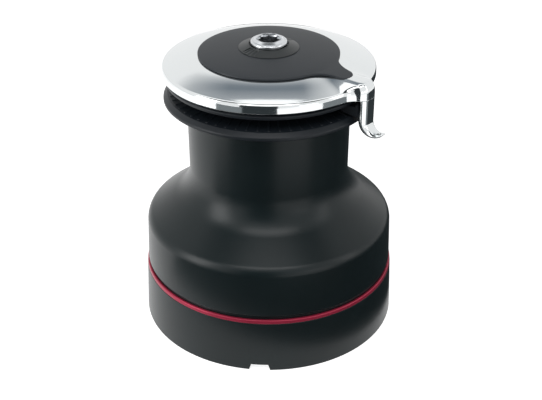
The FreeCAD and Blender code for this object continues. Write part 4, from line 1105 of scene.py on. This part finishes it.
def make_camera(settings):
    data = bpy.data.cameras.new("camera")
    data.lens = settings.camera_lens
    data.sensor_width = sensor_width
    data.shift_x = settings.camera_shift
    camera = bpy.data.objects.new("camera", data)
    camera.location = (0, -settings.camera_back, settings.camera_height)
    camera.rotation_euler = (math.pi / 2 - settings.camera_tilt, 0, 0)
    bpy.context.scene.collection.objects.link(camera)
    bpy.context.scene.camera = camera


def make_floor(settings):
    """A white floor: it glows softly where the camera or a mirror looks, and keeps the shadow."""
    half = settings.floor_size / 2
    floor = make_object("floor", [(-half, -half, 0), (half, -half, 0), (half, half, 0), (-half, half, 0)],
                        [(0, 1, 2, 3)])
    floor.location.z = -floor_sink
    material, nodes, links, shader = new_material("white_floor")
    shader.inputs["Base Color"].default_value = (*floor_colour, 1)
    shader.inputs["Roughness"].default_value = floor_roughness
    glow = nodes.new("ShaderNodeMath")
    glow.operation = "MULTIPLY"
    glow.inputs[1].default_value = settings.floor_glow
    links.new(ray_test(nodes, links, "Is Camera Ray", "Is Glossy Ray"), glow.inputs[0])
    shader.inputs["Emission Color"].default_value = (*white, 1)
    links.new(glow.outputs[0], shader.inputs["Emission Strength"])
    floor.data.materials.append(material)


def make_card(name, rows, tones):
    """A card that shows in reflections alone and throws no shadow; its tone runs on between its points."""
    across = len(rows[0])
    faces = [(r * across + i, r * across + i + 1, (r + 1) * across + i + 1, (r + 1) * across + i)
             for r in range(len(rows) - 1) for i in range(across - 1)]
    card = make_object(name, [point for row in rows for point in row], faces)
    shade = card.data.color_attributes.new("tone", "FLOAT_COLOR", "POINT")
    for spot, tone in zip(shade.data, [tone for row in tones for tone in row]):
        spot.color = (*tone, 1)
    material, nodes, links, shader = new_material(name)
    shader.inputs["Base Color"].default_value = (0, 0, 0, 1)
    shader.inputs["Roughness"].default_value = 1.0
    shader.inputs["Specular IOR Level"].default_value = 0.0
    painted = nodes.new("ShaderNodeAttribute")
    painted.attribute_name = "tone"
    links.new(painted.outputs["Color"], shader.inputs["Emission Color"])
    shader.inputs["Emission Strength"].default_value = 1.0
    card.data.materials.append(material)
    card.visible_camera = False
    card.visible_diffuse = False
    card.visible_shadow = False
    card.visible_transmission = False


def floor_card(name, first, last, near, far, tone, aside=0.0):
    """A card on the floor, part of a ring round the winch; turns run from the front, to the right."""
    turns = [first + (last - first) * i / card_steps - math.pi / 2 for i in range(card_steps + 1)]
    shift = Vector((aside, 0, 0))
    rows = [[at(near, turn, card_lift) + shift for turn in turns],
            [at(far, turn, card_lift) for turn in turns]]
    make_card(name, rows, [[tone] * len(turns)] * len(rows))


def make_floor_cards(settings):
    """A dark ring round the winch, and beyond it dark cards in front and behind, and grey ones between."""
    near, middle, far = settings.ring_near, settings.ring_far, settings.floor_far
    dark, grey = settings.dark_tone, settings.grey_tone
    floor_card("ring_card", -settings.ring_left, settings.ring_right, near, middle, dark, settings.ring_aside)
    floor_card("front_card", -settings.front_left, settings.front_right, middle, far, dark)
    floor_card("left_card", -settings.grey_left, -settings.front_left, middle, far, grey)
    floor_card("right_card", settings.side_start, settings.side_end, middle, far, grey)
    floor_card("side_card", settings.side_end, settings.ring_right, middle, far, dark)


def make_canopy(settings):
    """A grey canopy overhead behind the winch, narrower and paler towards its back."""
    rows = []
    tones = []
    for index, (y, depth) in enumerate(canopy_rows):
        narrow = 1 - canopy_narrowing * index / (len(canopy_rows) - 1)
        rows.append([Vector((x * narrow, y, settings.canopy_height)) for x, share_across in canopy_columns])
        tones.append([[1 - depth * share_across * (1 - canopy_tint * channel) for channel in range(3)]
                      for x, share_across in canopy_columns])
    make_card("canopy", rows, tones)


def level_card(name, ends, tones, height):
    """A level card overhead, with a row of points at each end along Y."""
    make_card(name, [[Vector((x, y, height)) for x in overhead_sides] for y in ends], tones)


def make_overhead_cards(settings):
    """A bright card between the canopy and the axis, and one that runs forward from it into the dark."""
    dark, bright = settings.dark_tone, [settings.overhead] * 3
    front = settings.overhead_front
    level_card("overhead_card", (canopy_rows[0][0], front), [[white, bright, bright, white]] * 2,
               settings.canopy_height)
    level_card("forward_card", (front, *forward_ends), [[bright] * 4, [dark] * 4, [dark] * 4, [white] * 4],
               settings.canopy_height)


def make_front_wall(settings):
    """A dark card that stands at the far end of the one in front."""
    far = settings.floor_far
    y = -far * math.cos(settings.front_left)
    sides = (-math.tan(settings.front_left) * far, math.tan(settings.front_right) * far)
    wall = [[Vector((x, y, z)) for x in sides] for z in (0.0, settings.front_height)]
    make_card("front_wall_card", wall, [[settings.dark_tone] * 2] * 2)


class WINCH_OT_stage(bpy.types.Operator):
    """Sets up the white surroundings, the camera, the floor, the cards and the lamps"""
    bl_idname = "winch.stage"
    bl_label = "Studio"

    def execute(self, context):
        settings = context.scene.winch_studio
        make_world(settings)
        make_camera(settings)
        make_floor(settings)
        make_floor_cards(settings)
        make_canopy(settings)
        make_overhead_cards(settings)
        make_front_wall(settings)
        for lamp in lamps:
            area_light(*lamp)
        context.scene.view_settings.view_transform = "Standard"
        return {"FINISHED"}


# Carried-over nodes


node_finishes = (
    (casting, ("base_plate", "center_stem", "arm_support")),
    (anodised_black, ("gear_housing",)),
    (stainless, ("housing_screws", "stem_screws", "final_shaft_pin", "idler_pin", "arm_support_screws",
                 "arm_screws", "ring_gear_screws", "jaw_screws", "jaw_wave_spring", "spindle",
                 "first_pawl_spring_a", "first_pawl_spring_b",
                 "second_pawl_spring_a", "second_pawl_spring_b")),
    (bronze, ("spindle_foot_bush", "spindle_bushes", "ring_gear", "pinion_bushes", "first_speed_gear",
              "second_speed_gear")),
    (gear_steel, ("first_drive_gear", "drive_key", "drive_circlip", "idler_gear", "final_pinion",
                  "first_pawl_a", "first_pawl_b", "second_pawl_a", "second_pawl_b")),
    (bearing_plastic, ("thrust_washers", "bearing_spacer", "lower_bearing_cage", "lower_bearing_rollers",
                       "upper_bearing_cage", "upper_bearing_rollers")),
    (jaw_plastic, ("peeler",)),
)


class WINCH_OT_inner_parts(bpy.types.Operator):
    """Gives every carried-over part of the model its finish"""
    bl_idname = "winch.inner_parts"
    bl_label = "Finishes of the other parts"

    def execute(self, context):
        for finish, names in node_finishes:
            material = finish()
            for name in names:
                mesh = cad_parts[name].data
                mesh.materials.clear()
                mesh.materials.append(material)
        return {"FINISHED"}


class WINCH_PT_panel(bpy.types.Panel):
    """Lists the winch's build steps"""
    bl_idname = "WINCH_PT_panel"
    bl_label = "Self-tailing winch"
    bl_space_type = "VIEW_3D"
    bl_region_type = "UI"
    bl_category = "Winch"

    def draw(self, context):
        for operator in operators:
            self.layout.operator(operator.bl_idname)


groups = (
    ("winch_base", BaseSettings),
    ("winch_drum", DrumSettings),
    ("winch_jaws", JawSettings),
    ("winch_arm", ArmSettings),
    ("winch_cover", CoverSettings),
    ("winch_finishes", Finishes),
    ("winch_studio", StudioSettings),
)
operators = (WINCH_OT_base, WINCH_OT_drum, WINCH_OT_jaws, WINCH_OT_arm, WINCH_OT_cover, WINCH_OT_inner_parts,
             WINCH_OT_stage)


def register():
    for name, group in groups:
        bpy.utils.register_class(group)
        setattr(bpy.types.Scene, name, PointerProperty(type=group))
    for operator in operators:
        bpy.utils.register_class(operator)
    bpy.utils.register_class(WINCH_PT_panel)


def unregister():
    bpy.utils.unregister_class(WINCH_PT_panel)
    for operator in reversed(operators):
        bpy.utils.unregister_class(operator)
    for name, group in reversed(groups):
        delattr(bpy.types.Scene, name)
        bpy.utils.unregister_class(group)


def main():
    register()
    bpy.ops.winch.base()
    bpy.ops.winch.drum()
    bpy.ops.winch.jaws()
    bpy.ops.winch.arm()
    bpy.ops.winch.cover()
    bpy.ops.winch.inner_parts()
    bpy.ops.winch.stage()


if __name__ == "__main__":
    main()
